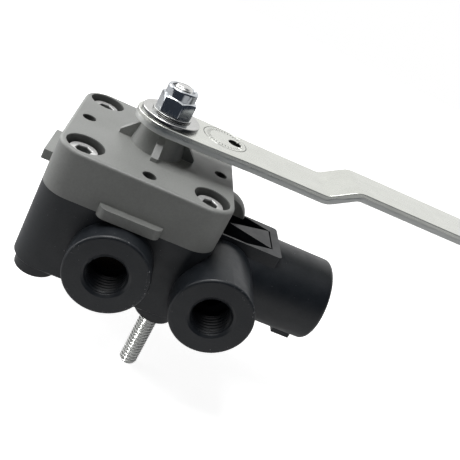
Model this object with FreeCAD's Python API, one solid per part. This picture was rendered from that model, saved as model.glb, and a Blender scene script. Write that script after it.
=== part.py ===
import FreeCAD, Part
import os
from math import cos, pi, radians, sin, sqrt, tan
from FreeCAD import Vector

# Leveling valve for an air suspension, with a built-in dump valve. Millimetres.
# +Z runs up the lever shaft, +X along the lever arm, +Y to the back.
# The origin is on the shaft axis, in the plane of the four mounting feet.

# Housing block
BLOCK_WIDTH = 58.3
CORNER_RADIUS = 9.0
FOOT_HEIGHT = 3.6
BODY_HEIGHT = 26.9
CAP_HEIGHT = 15.5
CAP_EDGE_ROUND = 1.1
BODY_EDGE_CHAMFER = 0.6
FOOT_RADIUS = 6.8
FOOT_INSET = 8.35

# Side tabs of the cap
TAB_WIDTH = 20.4
TAB_REACH = 3.1
TAB_HEIGHT = 3.4
TAB_CORNER = 2.6
LEFT_TAB_WIDTH = 18.2
LEFT_TAB_REACH = 3.8
LEFT_TAB_CORNER = 0.4
LEFT_TAB_SHIFT = 0.9

# Cap screws and their inserts
SCREW_INSET = 8.05
SCREW_RADIUS = 2.76
SCREW_HEAD_RADIUS = 4.76
SCREW_HEAD_HEIGHT = 6.35
SCREW_HEAD_CHAMFER = 0.35
SCREW_SOCKET_FLATS = 4.76
SCREW_SOCKET_DEPTH = 3.0
SCREW_SOCKET_TURN = 15.0
SCREW_RECESS = 1.9
COUNTERBORE_RADIUS = 6.2
SCREW_HOLE_RADIUS = 3.3
INSERT_RADIUS = 4.5
INSERT_LENGTH = 12.0
INSERT_DEPTH = 1.5

# Locating holes for the lever's neutral position
LOCATING_RADIUS = 2.35
LOCATING_INSET = 5.05
LOCATING_DEPTH = 8.0
LOCATING_TURN = 4.8

# Shaft boss and its gussets
BOSS_HEIGHT = 7.5
BOSS_BASE_RADIUS = 9.3
BOSS_TOP_RADIUS = 7.8
GUSSET_WIDTH = 2.4
GUSSET_REACH = 13.4
GUSSET_END_HEIGHT = 1.3
GUSSET_TOP_DROP = 0.6

# Shaft, cam flange and crank pin
JOURNAL_RADIUS = 5.2
FLANGE_RADIUS = 10.0
FLANGE_THICKNESS = 3.3
CAM_CAVITY_RADIUS = 12.0
CAM_CAVITY_HEIGHT = 6.0
THRUST_RING_WALL = 1.5
THRUST_RING_GAP = 0.3
THRUST_WASHER_INSET = 0.4
THRUST_WASHER_THICKNESS = 1.2
PIN_OFFSET = 4.0
PIN_RADIUS = 1.6
PIN_ENTRY = 4.2
PIN_PLAY = 0.25
PIN_END_GAP = 0.5
PIN_SIDE_GAP = 0.7
LEVER_SWING = 45.0
TENON_RADIUS = 4.5
TENON_FLATS = 7.0
SHAFT_THREAD_RADIUS = 3.175
SHAFT_THREAD_LENGTH = 12.0
SHAFT_CHAMFER = 0.75
BUSHING_WALL = 1.2
BUSHING_RECESS = 0.2
SHAFT_SEAL_WIDTH = 2.0
SHAFT_SEAL_HEIGHT = 2.0
SHAFT_SEAL_LEDGE = 1.4
SHAFT_SEAL_PLAY = 0.2
RUNNING_GAP = 0.05

# Lever arm
ARM_GAP = 0.8
ARM_THICKNESS = 3.25
ARM_WIDTH = 20.1
ARM_HEAD_RADIUS = 11.3
ARM_HEAD_LENGTH = 12.0
ARM_TAPER_END = 30.0
ARM_BEND_START = 58.3
ARM_BEND_ANGLE = 32.0
ARM_RISE = 5.85
ARM_BEND_RADIUS = 4.0
ARM_END = 188.0
ARM_END_CORNER = 6.0
ARM_NEUTRAL_ANGLE = 1.9
LINK_HOLE_RADIUS = 4.05
LINK_HOLES = (127.0, 152.4, 177.8)

# Washers and lock nut on the arm
WASHER_RADIUS = 10.2
WASHER_THICKNESS = 1.4
WASHER_EDGE_CHAMFER = 0.25
SMALL_WASHER_RADIUS = 6.85
SMALL_WASHER_THICKNESS = 0.7
WASHER_BORE_GAP = 0.2
NUT_FLATS = 11.11
NUT_HEIGHT = 5.75
NUT_CHAMFER = 0.55
NUT_FACE_INSET = 0.15
NUT_TURN = -75.0
COLLAR_RADIUS = 5.25
COLLAR_HEIGHT = 3.4
COLLAR_CRIMP = 0.8
COLLAR_LIP = 0.55
NUT_INSERT_HEIGHT = 2.0
NUT_INSERT_WALL = 1.15
NUT_INSERT_DROP = 0.7

# Air ports
PORT_AXIS_RISE = 13.0
PORT_NECK_RADIUS = 13.5
PORT_REACH = 8.85
PORT_EDGE_ROUND = 0.9
PORT_BORE_RADIUS = 6.2
PORT_BORE_DEPTH = 12.0
PORT_MOUTH_RADIUS = 7.6
PORT_MOUTH_DEPTH = 1.0
DELIVERY_PORT_OFFSET = 5.55
DELIVERY_PASSAGE_RADIUS = 4.0

# Inlet check valve behind the supply port
FILTER_RADIUS = 5.2
FILTER_THICKNESS = 1.2
CHECK_CHAMBER_RADIUS = 4.2
CHECK_CHAMBER_DEPTH = 11.0
CHECK_SEAT_THICKNESS = 1.6
CHECK_SEAT_HOLE = 1.8
CHECK_POPPET_THICKNESS = 1.4
CHECK_SPIGOT_RADIUS = 1.6
CHECK_SPIGOT_LENGTH = 2.2
CHECK_HOLE_RADIUS = 1.6
CHECK_SPRING_RADIUS = 2.6

# Plunger and its bore, along X
VALVE_AXIS_Y = -2.2
PLUNGER_BORE_RADIUS = 7.0
PLUNGER_END_GAP = 1.2
SLIDING_GAP = 0.07
PLUNGER_LENGTH = 32.0
PLUNGER_SEAL_INSET = 3.5
SEAL_WIDTH = 1.5
SEAL_HEIGHT = 1.5
SEAL_GROOVE_GAP = 0.1
SEAL_FLOOR_GAP = 0.05
BORE_PLUG_RADIUS = 8.6
BORE_PLUG_LENGTH = 5.7
BORE_PLUG_SOCKET_FLATS = 6.0
BORE_PLUG_SOCKET_DEPTH = 2.6
PRESS_GAP = 0.02
PASSAGE_RADIUS = 3.0

# Dump valve
DUMP_RADIUS = 15.0
DUMP_LENGTH = 47.3
DUMP_END_ROUND = 1.9
DUMP_CHAMBER_RADIUS = 11.5
DUMP_CHAMBER_LENGTH = 12.0
DUMP_PISTON_THICKNESS = 4.0
DUMP_STEM_GAP = 0.2
DUMP_SPRING_RADIUS = 7.0
PILOT_BORE_DEPTH = 8.6
PILOT_HOLE_RADIUS = 1.5
END_CAP_THICKNESS = 10.2
END_CAP_RADIUS = 12.5
END_CAP_RECESS = 1.4
RETAINING_RING_THICKNESS = 0.9
RETAINING_RING_WIDTH = 1.7
RETAINING_RING_DEPTH = 0.6
RETAINING_RING_OPENING = 9.0
DUMP_FOOT_LENGTH = 7.0
DUMP_FOOT_WIDTH = 9.6
DUMP_FOOT_INSET = 2.9
DUMP_FOOT_OVERLAP = 1.5

# Vented pad on top of the dump cylinder
PAD_LENGTH = 24.9
PAD_WIDTH = 21.1
PAD_STEP = 1.25
PAD_CORNER = 1.3
PAD_SIDE_WALL = 0.8
PAD_END_WALL = 3.2
POCKET_INSET = 1.5
POCKET_END_WIDTH = 12.7
POCKET_FLARE_LENGTH = 10.0
POCKET_DEPTH = 6.6
VANE_LENGTH = 16.0
VANE_WIDTH = 12.4
VANE_GAP = 0.55

# Rounded ear of the cap, behind the pad
EAR_RADIUS = 8.6
EAR_REACH = 3.2
EAR_OFFSET = 8.0
EAR_DROP = 0.8
EAR_FRONT = 4.6

# Seal between cap and body
CAP_SEAL_RADIUS = 17.0
CAP_SEAL_WIDTH = 2.0
CAP_SEAL_HEIGHT = 1.0

# Exhaust flap under the body
EXHAUST_RADIUS = 11.0
EXHAUST_DEPTH = 2.4
FLAP_RADIUS = 9.2
FLAP_THICKNESS = 1.2
EXHAUST_HOLE_RADIUS = 1.3
EXHAUST_HOLE_CIRCLE = 6.2
EXHAUST_HOLE_DROP = 4.0
RETAINER_HEAD_RADIUS = 4.2
RETAINER_HEAD_HEIGHT = 0.9
RETAINER_STEM_RADIUS = 1.5
RETAINER_STEM_LENGTH = 2.8

# Mounting studs
STUD_RADIUS = 3.1
STUD_LENGTH = 22.4
STUD_EMBEDMENT = 11.0
STUD_COLLAR_RADIUS = 4.4
STUD_CHAMFER = 0.8

# Springs
SPRING_WIRE = 0.45
SPRING_TURNS = 3
SPRING_SEAT_GAP = 0.05

half = BLOCK_WIDTH / 2
split_z = FOOT_HEIGHT + BODY_HEIGHT
cap_top = split_z + CAP_HEIGHT
boss_top = cap_top + BOSS_HEIGHT
arm_bottom = boss_top + ARM_GAP
arm_top = arm_bottom + ARM_THICKNESS
washer_top = arm_top + WASHER_THICKNESS
small_washer_top = washer_top + SMALL_WASHER_THICKNESS
nut_top = small_washer_top + NUT_HEIGHT
collar_top = nut_top + COLLAR_HEIGHT
cavity_roof = split_z + CAM_CAVITY_HEIGHT
flange_top = cavity_roof - THRUST_WASHER_THICKNESS - RUNNING_GAP
flange_bottom = flange_top - FLANGE_THICKNESS
gland_bottom = cavity_roof + SHAFT_SEAL_LEDGE
gland_top = gland_bottom + SHAFT_SEAL_HEIGHT + 2 * SHAFT_SEAL_PLAY
screw_head_top = cap_top - SCREW_RECESS
screw_head_bottom = screw_head_top - SCREW_HEAD_HEIGHT
insert_top = split_z - INSERT_DEPTH
insert_bottom = insert_top - INSERT_LENGTH
screw_offset = half - SCREW_INSET
foot_offset = half - FOOT_INSET
locating_circle = half - LOCATING_INSET
port_axis_z = FOOT_HEIGHT + PORT_AXIS_RISE
port_face_y = -half - PORT_REACH
port_bore_end = port_face_y + PORT_BORE_DEPTH
check_start = port_bore_end + FILTER_THICKNESS
check_end = check_start + CHECK_CHAMBER_DEPTH
check_face = check_start + CHECK_SEAT_THICKNESS + RUNNING_GAP
delivery_port_x = half + DELIVERY_PORT_OFFSET
plunger_radius = PLUNGER_BORE_RADIUS - SLIDING_GAP
plunger_travel = PIN_OFFSET * sin(radians(LEVER_SWING))
plunger_bore_start = -half + BORE_PLUG_LENGTH
plunger_bore_end = PLUNGER_LENGTH / 2 + plunger_travel + PLUNGER_END_GAP
plunger_seal_x = PLUNGER_LENGTH / 2 - PLUNGER_SEAL_INSET
pin_bottom = port_axis_z + PLUNGER_BORE_RADIUS - PIN_ENTRY
well_radius = PIN_OFFSET + PIN_RADIUS + PIN_SIDE_GAP
dump_end_x = half + DUMP_LENGTH
end_cap_face = dump_end_x - END_CAP_RECESS
dump_chamber_end = end_cap_face - END_CAP_THICKNESS
dump_chamber_start = dump_chamber_end - DUMP_CHAMBER_LENGTH
piston_back = dump_chamber_end - RUNNING_GAP
piston_front = piston_back - DUMP_PISTON_THICKNESS
piston_middle = (piston_front + piston_back) / 2
piston_radius = DUMP_CHAMBER_RADIUS - SLIDING_GAP
end_cap_middle = (dump_chamber_end + end_cap_face) / 2
stem_end = delivery_port_x + DELIVERY_PASSAGE_RADIUS + DUMP_STEM_GAP
pad_top = split_z + PAD_STEP
pad_front = VALVE_AXIS_Y - PAD_WIDTH / 2
pad_back = VALVE_AXIS_Y + PAD_WIDTH / 2
exhaust_roof = FOOT_HEIGHT + EXHAUST_DEPTH
flap_bottom = exhaust_roof - FLAP_THICKNESS
stem_hole_top = exhaust_roof + RETAINER_STEM_LENGTH
corners = [(1, -1), (1, 1), (-1, 1), (-1, -1)]

X = Vector(1, 0, 0)
Y = Vector(0, 1, 0)
Z = Vector(0, 0, 1)


def box(x0, x1, y0, y1, z0, z1):
    return Part.makeBox(x1 - x0, y1 - y0, z1 - z0, Vector(x0, y0, z0))


def rod(radius, start, end):
    """A round bar between two points."""
    axis = end.sub(start)
    return Part.makeCylinder(radius, axis.Length, start, axis)


def cone(radius_start, radius_end, start, end):
    axis = end.sub(start)
    return Part.makeCone(radius_start, radius_end, axis.Length, start, axis)


def tube(outer, inner, start, end):
    return rod(outer, start, end).cut(rod(inner, start, end))


def chamfered_rod(radius, start, end, chamfer):
    """A round bar with its far end chamfered."""
    axis = end.sub(start).normalize()
    shoulder = end.sub(axis * chamfer)
    return rod(radius, start, shoulder).fuse(cone(radius, radius - chamfer, shoulder, end))


def at(x, y, z):
    return Vector(x, y, z)


def on_valve_axis(x):
    return Vector(x, VALVE_AXIS_Y, port_axis_z)


def on_port_axis(x, y):
    return Vector(x, y, port_axis_z)


def prism(outline, floor, height):
    """An upright block whose outline is a list of places on X and Y."""
    points = [at(x, y, floor) for x, y in outline + outline[:1]]
    return Part.Face(Part.makePolygon(points)).extrude(Z * height)


def hexagon(flats, start, end, turn=0.0):
    """A hexagonal prism along Z or X, one corner at the angle turn."""
    axis = end.sub(start)
    radius = flats / sqrt(3)
    side = Y if abs(axis.x) > abs(axis.z) else X
    other = axis.cross(side).normalize()
    points = []
    for i in range(7):
        angle = radians(turn + 60 * i)
        points.append(start + side * (radius * cos(angle)) + other * (radius * sin(angle)))
    return Part.Face(Part.makePolygon(points)).extrude(axis)


def edges_along(shape, direction):
    """The straight edges of a shape that run along a direction."""
    found = []
    for edge in shape.Edges:
        run = edge.Vertexes[-1].Point.sub(edge.Vertexes[0].Point)
        if run.Length > 1e-6 and run.cross(direction).Length < 1e-6 * run.Length:
            found.append(edge)
    return found


def edges_in_plane(shape, direction, height):
    """The edges of a shape that lie in the plane at a height along a direction."""
    found = []
    for edge in shape.Edges:
        ends = [vertex.Point.dot(direction) for vertex in edge.Vertexes]
        middle = edge.CenterOfMass.dot(direction)
        if all(abs(value - height) < 1e-4 for value in ends + [middle]):
            found.append(edge)
    return found


def edges_at_x(shape, places):
    """The edges along Y that stand at one of the given places on X."""
    found = []
    for edge in edges_along(shape, Y):
        if any(abs(edge.CenterOfMass.x - x) < 1e-4 for x in places):
            found.append(edge)
    return found


def rounded_block(half_width, z0, z1, corner):
    block = box(-half_width, half_width, -half_width, half_width, z0, z1)
    return block.makeFillet(corner, edges_along(block, Z))


def at_corners(offset):
    """The four places at one distance from both middle planes, one for each corner."""
    return [(sx * offset, sy * offset) for sx, sy in corners]


def spring(radius, start, end):
    """A helical spring of square wire between two seats."""
    axis = end.sub(start).normalize()
    length = end.sub(start).Length - 2 * SPRING_SEAT_GAP
    pitch = (length - 2 * SPRING_WIRE) / SPRING_TURNS
    helix = Part.Wire(Part.makeHelix(pitch, pitch * SPRING_TURNS, radius).Edges)
    side = SPRING_WIRE
    profile = Part.makePolygon([at(radius - side, 0, -side), at(radius + side, 0, -side),
                                at(radius + side, 0, side), at(radius - side, 0, side),
                                at(radius - side, 0, -side)])
    coil = helix.makePipeShell([profile], True, True)
    coil.rotate(at(0, 0, 0), Z.cross(axis), 90)
    coil.translate(start + axis * (SPRING_WIRE + SPRING_SEAT_GAP))
    return coil


# Cap housing

def side_tab(angle, width, reach, corner, shift=0.0):
    """A flat tab with round corners at the foot of one side of the cap."""
    tab = box(half - reach, half + reach, shift - width / 2, shift + width / 2,
              split_z, split_z + TAB_HEIGHT)
    tab = tab.makeFillet(corner, [edge for edge in edges_along(tab, Z) if edge.CenterOfMass.x > half])
    tab.rotate(at(0, 0, 0), Z, angle)
    return tab


def gusset(angle):
    """A triangular web that props the shaft boss, with its tip cut off."""
    side = -GUSSET_WIDTH / 2
    foot = cap_top - CAP_EDGE_ROUND
    shoulder = boss_top - GUSSET_TOP_DROP
    outline = [
        at(0, side, foot),
        at(GUSSET_REACH, side, foot),
        at(GUSSET_REACH, side, cap_top + GUSSET_END_HEIGHT),
        at(BOSS_TOP_RADIUS, side, shoulder),
        at(0, side, shoulder),
        at(0, side, foot),
    ]
    web = Part.Face(Part.makePolygon(outline)).extrude(Y * GUSSET_WIDTH)
    web.rotate(at(0, 0, 0), Z, angle)
    return web


def ear():
    """A dome on the cap's right side that rests on the back rim of the pad."""
    centre = at(half + EAR_REACH, EAR_OFFSET, split_z - EAR_DROP)
    reach = half + EAR_REACH + EAR_RADIUS
    wall = half - EAR_REACH
    dome = Part.makeSphere(EAR_RADIUS, centre)
    dome = dome.common(box(wall, reach, EAR_FRONT, EAR_OFFSET + EAR_RADIUS, split_z, cap_top))
    return dome.cut(box(half, reach, EAR_FRONT, pad_back, split_z, pad_top))


def cap_housing():
    cap = rounded_block(half, split_z, cap_top, CORNER_RADIUS)
    cap = cap.makeFillet(CAP_EDGE_ROUND, edges_in_plane(cap, Z, cap_top))
    added = [cone(BOSS_BASE_RADIUS, BOSS_TOP_RADIUS, at(0, 0, cap_top), at(0, 0, boss_top)), ear()]
    added += [gusset(angle) for angle in (0, 90, 180, 270)]
    added += [side_tab(angle, TAB_WIDTH, TAB_REACH, TAB_CORNER) for angle in (90, 270)]
    added.append(side_tab(180, LEFT_TAB_WIDTH, LEFT_TAB_REACH, LEFT_TAB_CORNER, LEFT_TAB_SHIFT))
    cap = cap.multiFuse(added).removeSplitter()
    gland_radius = JOURNAL_RADIUS + SHAFT_SEAL_WIDTH + 2 * RUNNING_GAP
    cuts = [
        rod(CAM_CAVITY_RADIUS, at(0, 0, split_z), at(0, 0, cavity_roof)),
        rod(JOURNAL_RADIUS + RUNNING_GAP, at(0, 0, cavity_roof), at(0, 0, gland_bottom)),
        rod(gland_radius, at(0, 0, gland_bottom), at(0, 0, gland_top)),
        rod(JOURNAL_RADIUS + BUSHING_WALL, at(0, 0, gland_top), at(0, 0, boss_top)),
    ]
    for x, y in at_corners(screw_offset):
        cuts.append(rod(COUNTERBORE_RADIUS, at(x, y, screw_head_bottom), at(x, y, cap_top)))
        cuts.append(rod(SCREW_HOLE_RADIUS, at(x, y, split_z), at(x, y, screw_head_bottom)))
    for i in range(4):
        x = locating_circle * cos(pi / 2 * i)
        y = locating_circle * sin(pi / 2 * i)
        cuts.append(rod(LOCATING_RADIUS, at(x, y, cap_top - LOCATING_DEPTH), at(x, y, cap_top)))
    return cap.cut(cuts)


# Valve body

def port_neck(x, inner_y):
    """A round port neck that points to the front, with its face edge rounded."""
    neck = rod(PORT_NECK_RADIUS, on_port_axis(x, port_face_y), on_port_axis(x, inner_y))
    return neck.makeFillet(PORT_EDGE_ROUND, edges_in_plane(neck, Y, port_face_y))


def port_bore(x):
    mouth = cone(PORT_MOUTH_RADIUS, PORT_BORE_RADIUS, on_port_axis(x, port_face_y),
                 on_port_axis(x, port_face_y + PORT_MOUTH_DEPTH))
    return mouth.fuse(rod(PORT_BORE_RADIUS, on_port_axis(x, port_face_y), on_port_axis(x, port_bore_end)))


def pad():
    """The flat pad that stands on the dump cylinder beside the cap."""
    end = half + PAD_LENGTH
    block = box(half, end, pad_front, pad_back, port_axis_z, pad_top)
    outer = [edge for edge in edges_along(block, Z) if edge.CenterOfMass.x > end - 1e-4]
    return block.makeFillet(PAD_CORNER, outer)


def pad_pocket():
    """The pocket in the pad, which flares towards the cap round a wedge-shaped web."""
    start = half + POCKET_INSET
    end = half + PAD_LENGTH - PAD_END_WALL
    floor = pad_top - POCKET_DEPTH
    narrow = POCKET_END_WIDTH / 2
    wide = PAD_WIDTH / 2 - PAD_SIDE_WALL
    flare = end - POCKET_FLARE_LENGTH
    base = end - VANE_GAP
    outline = [(start, -wide), (flare, -wide), (end, -narrow), (end, narrow), (flare, wide), (start, wide)]
    wedge = [(base - VANE_LENGTH, 0), (base, -VANE_WIDTH / 2), (base, VANE_WIDTH / 2)]
    pocket, vane = [prism([(x, VALVE_AXIS_Y + side) for x, side in points], floor, POCKET_DEPTH)
                    for points in (outline, wedge)]
    return pocket.cut(vane)


def dump_cylinder():
    """The cylinder beside the block, with its top cut flat under the cap."""
    start = half - CORNER_RADIUS
    cylinder = rod(DUMP_RADIUS, on_valve_axis(start), on_valve_axis(dump_end_x))
    cylinder = cylinder.makeFillet(DUMP_END_ROUND, edges_in_plane(cylinder, X, dump_end_x))
    return cylinder.cut(box(start, half, -half, half, split_z, cap_top))


def dump_foot():
    """The small foot under the far end of the dump cylinder."""
    end = dump_end_x - DUMP_FOOT_INSET
    side = DUMP_FOOT_WIDTH / 2
    top = port_axis_z - DUMP_RADIUS + DUMP_FOOT_OVERLAP
    return box(end - DUMP_FOOT_LENGTH, end, VALVE_AXIS_Y - side, VALVE_AXIS_Y + side, 0, top)


def passages():
    """Every bore and passage that the air and the moving pieces use."""
    cuts = [
        port_bore(0),
        port_bore(delivery_port_x),
        rod(FILTER_RADIUS, on_port_axis(0, port_bore_end), on_port_axis(0, check_start)),
        rod(CHECK_CHAMBER_RADIUS, on_port_axis(0, check_start), on_port_axis(0, check_end)),
        rod(CHECK_HOLE_RADIUS, on_port_axis(0, check_end), on_valve_axis(0)),
        rod(DELIVERY_PASSAGE_RADIUS, on_port_axis(delivery_port_x, port_bore_end),
            on_valve_axis(delivery_port_x)),
        rod(BORE_PLUG_RADIUS, on_valve_axis(-half), on_valve_axis(plunger_bore_start)),
        rod(PLUNGER_BORE_RADIUS, on_valve_axis(plunger_bore_start), on_valve_axis(plunger_bore_end)),
        rod(PASSAGE_RADIUS, on_valve_axis(0), on_valve_axis(dump_chamber_start)),
        rod(DUMP_CHAMBER_RADIUS, on_valve_axis(dump_chamber_start), on_valve_axis(dump_chamber_end)),
        rod(END_CAP_RADIUS, on_valve_axis(dump_chamber_end), on_valve_axis(dump_end_x)),
        rod(END_CAP_RADIUS + RETAINING_RING_DEPTH, on_valve_axis(end_cap_face),
            on_valve_axis(end_cap_face + RETAINING_RING_THICKNESS)),
        rod(well_radius, at(0, 0, port_axis_z), at(0, 0, cap_top)),
    ]
    for i in range(3):
        angle = 2 * pi / 3 * i - pi / 2
        x = EXHAUST_HOLE_CIRCLE * cos(angle)
        y = EXHAUST_HOLE_CIRCLE * sin(angle)
        roof = port_axis_z - EXHAUST_HOLE_DROP
        cuts.append(rod(EXHAUST_HOLE_RADIUS, at(x, y, FOOT_HEIGHT), at(x, y, roof)))
    return cuts


def valve_body():
    block = rounded_block(half, FOOT_HEIGHT, split_z, CORNER_RADIUS)
    block = block.makeChamfer(BODY_EDGE_CHAMFER, edges_in_plane(block, Z, FOOT_HEIGHT))
    thrust_ring = tube(FLANGE_RADIUS, FLANGE_RADIUS - THRUST_RING_WALL, at(0, 0, port_axis_z),
                       at(0, 0, flange_bottom - THRUST_RING_GAP))
    added = [
        port_neck(0, -half + CORNER_RADIUS),
        port_neck(delivery_port_x, VALVE_AXIS_Y),
        dump_cylinder(), dump_foot(), pad(), thrust_ring,
    ]
    for x, y in at_corners(foot_offset):
        added.append(rod(FOOT_RADIUS, at(x, y, 0), at(x, y, FOOT_HEIGHT + FOOT_RADIUS / 2)))
    body = block.multiFuse(added).removeSplitter()
    cuts = passages() + [
        pad_pocket(),
        cap_seal(),
        rod(EXHAUST_RADIUS, at(0, 0, 0), at(0, 0, exhaust_roof)),
        rod(RETAINER_STEM_RADIUS, at(0, 0, exhaust_roof), at(0, 0, stem_hole_top)),
    ]
    for x, y in at_corners(screw_offset):
        cuts.append(rod(INSERT_RADIUS, at(x, y, insert_bottom), at(x, y, insert_top)))
        cuts.append(rod(SCREW_HOLE_RADIUS, at(x, y, insert_top), at(x, y, split_z)))
    return body.cut(cuts + stud_solids())


# Fasteners

def cap_screws():
    """Four socket-head screws, sunk into the cap's counterbores."""
    screws = []
    for x, y in at_corners(screw_offset):
        head = rod(SCREW_HEAD_RADIUS, at(x, y, screw_head_bottom), at(x, y, screw_head_top))
        head = head.makeChamfer(SCREW_HEAD_CHAMFER, edges_in_plane(head, Z, screw_head_top))
        shank = rod(SCREW_RADIUS, at(x, y, insert_bottom + RUNNING_GAP), at(x, y, screw_head_bottom))
        socket = hexagon(SCREW_SOCKET_FLATS, at(x, y, screw_head_top - SCREW_SOCKET_DEPTH),
                         at(x, y, screw_head_top), SCREW_SOCKET_TURN)
        screws.append(head.fuse(shank).cut(socket))
    return Part.makeCompound(screws)


def thread_inserts():
    """Four brass inserts moulded into the body, which take the cap screws."""
    bore = SCREW_RADIUS + RUNNING_GAP
    return Part.makeCompound([tube(INSERT_RADIUS, bore, at(x, y, insert_bottom), at(x, y, insert_top))
                              for x, y in at_corners(screw_offset)])


def stud_solids():
    """Two threaded studs, each held by a collar moulded into one of two opposite corner feet."""
    studs = []
    for x, y in at_corners(foot_offset)[0::2]:
        collar = rod(STUD_COLLAR_RADIUS, at(x, y, 0), at(x, y, STUD_EMBEDMENT))
        stud = chamfered_rod(STUD_RADIUS, at(x, y, 0), at(x, y, -STUD_LENGTH), STUD_CHAMFER)
        studs.append(collar.fuse(stud))
    return studs


def mounting_studs():
    return Part.makeCompound(stud_solids())


# Lever shaft

def lever_shaft():
    """The shaft with its flange and crank pin below and its tenon and thread above."""
    tenon_top = arm_top - RUNNING_GAP
    tenon = rod(TENON_RADIUS, at(0, 0, flange_top), at(0, 0, tenon_top))
    flats = box(-TENON_RADIUS, TENON_RADIUS, -TENON_FLATS / 2, TENON_FLATS / 2, flange_top, tenon_top)
    flats.rotate(at(0, 0, 0), Z, ARM_NEUTRAL_ANGLE)
    shaft = rod(JOURNAL_RADIUS, at(0, 0, flange_top), at(0, 0, arm_bottom))
    return shaft.multiFuse([
        rod(FLANGE_RADIUS, at(0, 0, flange_bottom), at(0, 0, flange_top)),
        rod(PIN_RADIUS, at(0, -PIN_OFFSET, pin_bottom), at(0, -PIN_OFFSET, flange_bottom)),
        tenon.common(flats),
        chamfered_rod(SHAFT_THREAD_RADIUS, at(0, 0, tenon_top), at(0, 0, arm_top + SHAFT_THREAD_LENGTH),
                      SHAFT_CHAMFER),
    ]).removeSplitter()


def shaft_bushing():
    return tube(JOURNAL_RADIUS + BUSHING_WALL, JOURNAL_RADIUS + RUNNING_GAP, at(0, 0, gland_top),
                at(0, 0, boss_top - BUSHING_RECESS))


def shaft_seal():
    """A square-section seal round the shaft, in its gland under the bushing."""
    inner = JOURNAL_RADIUS + RUNNING_GAP
    return tube(inner + SHAFT_SEAL_WIDTH, inner, at(0, 0, gland_bottom + SHAFT_SEAL_PLAY),
                at(0, 0, gland_top - SHAFT_SEAL_PLAY))


def thrust_washer():
    return tube(FLANGE_RADIUS - THRUST_WASHER_INSET, JOURNAL_RADIUS + 2 * RUNNING_GAP,
                at(0, 0, cavity_roof - THRUST_WASHER_THICKNESS), at(0, 0, cavity_roof))


# Lever arm and what clamps it

def arm_outline():
    """The arm's shape seen from above, as one face at z = 0."""
    side = ARM_WIDTH / 2
    head = ARM_HEAD_RADIUS
    points = [
        at(0, head, 0), at(ARM_HEAD_LENGTH, head, 0), at(ARM_TAPER_END, side, 0), at(ARM_END, side, 0),
        at(ARM_END, -side, 0), at(ARM_TAPER_END, -side, 0), at(ARM_HEAD_LENGTH, -head, 0), at(0, -head, 0),
    ]
    edges = [Part.makeLine(first, second) for first, second in zip(points, points[1:])]
    edges.append(Part.Arc(at(0, -head, 0), at(-head, 0, 0), at(0, head, 0)).toShape())
    return Part.Face(Part.Wire(edges))


def arm_strip():
    """The strip with its double bend, as wide as the arm's head."""
    side = ARM_HEAD_RADIUS
    shift = ARM_THICKNESS * tan(radians(ARM_BEND_ANGLE / 2))
    run = ARM_RISE / tan(radians(ARM_BEND_ANGLE))
    foot = ARM_BEND_START + shift
    high = arm_bottom + ARM_RISE
    points = [at(-side, -side, arm_bottom), at(foot, -side, arm_bottom), at(foot + run, -side, high),
              at(ARM_END, -side, high), at(ARM_END, -side, high + ARM_THICKNESS),
              at(ARM_BEND_START + run, -side, high + ARM_THICKNESS), at(ARM_BEND_START, -side, arm_top),
              at(-side, -side, arm_top), at(-side, -side, arm_bottom)]
    strip = Part.Face(Part.makePolygon(points)).extrude(Y * (2 * side))
    strip = strip.makeFillet(ARM_BEND_RADIUS, edges_at_x(strip, (ARM_BEND_START, foot + run)))
    return strip.makeFillet(ARM_BEND_RADIUS + ARM_THICKNESS, edges_at_x(strip, (foot, ARM_BEND_START + run)))


def lever_arm():
    plate = arm_outline().extrude(Z * (ARM_RISE + ARM_THICKNESS))
    plate.translate(Z * arm_bottom)
    ends = [edge for edge in edges_along(plate, Z) if edge.CenterOfMass.x > ARM_END - 1e-4]
    plate = plate.makeFillet(ARM_END_CORNER, ends)
    flat = TENON_FLATS / 2 + RUNNING_GAP
    hole = rod(TENON_RADIUS + RUNNING_GAP, at(0, 0, arm_bottom), at(0, 0, arm_top))
    hole = hole.common(box(-ARM_WIDTH, ARM_WIDTH, -flat, flat, arm_bottom, arm_top))
    x = locating_circle * cos(radians(LOCATING_TURN))
    y = locating_circle * sin(radians(LOCATING_TURN))
    cuts = [hole, rod(LOCATING_RADIUS, at(x, y, arm_bottom), at(x, y, arm_top))]
    for x in LINK_HOLES:
        cuts.append(rod(LINK_HOLE_RADIUS, at(x, 0, arm_bottom), at(x, 0, arm_top + ARM_RISE)))
    arm = arm_strip().common(plate).cut(cuts)
    arm.rotate(at(0, 0, 0), Z, ARM_NEUTRAL_ANGLE)
    return arm


def flat_washer():
    bore = SHAFT_THREAD_RADIUS + WASHER_BORE_GAP
    washer = tube(WASHER_RADIUS, bore, at(0, 0, arm_top), at(0, 0, washer_top))
    rim = max(edges_in_plane(washer, Z, washer_top), key=lambda edge: edge.Length)
    return washer.makeChamfer(WASHER_EDGE_CHAMFER, [rim])


def small_washer():
    return tube(SMALL_WASHER_RADIUS, SHAFT_THREAD_RADIUS + WASHER_BORE_GAP / 2, at(0, 0, washer_top),
                at(0, 0, small_washer_top))


def nut_insert_space():
    top = collar_top - NUT_INSERT_DROP
    return rod(SHAFT_THREAD_RADIUS + NUT_INSERT_WALL, at(0, 0, top - NUT_INSERT_HEIGHT), at(0, 0, top))


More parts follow.
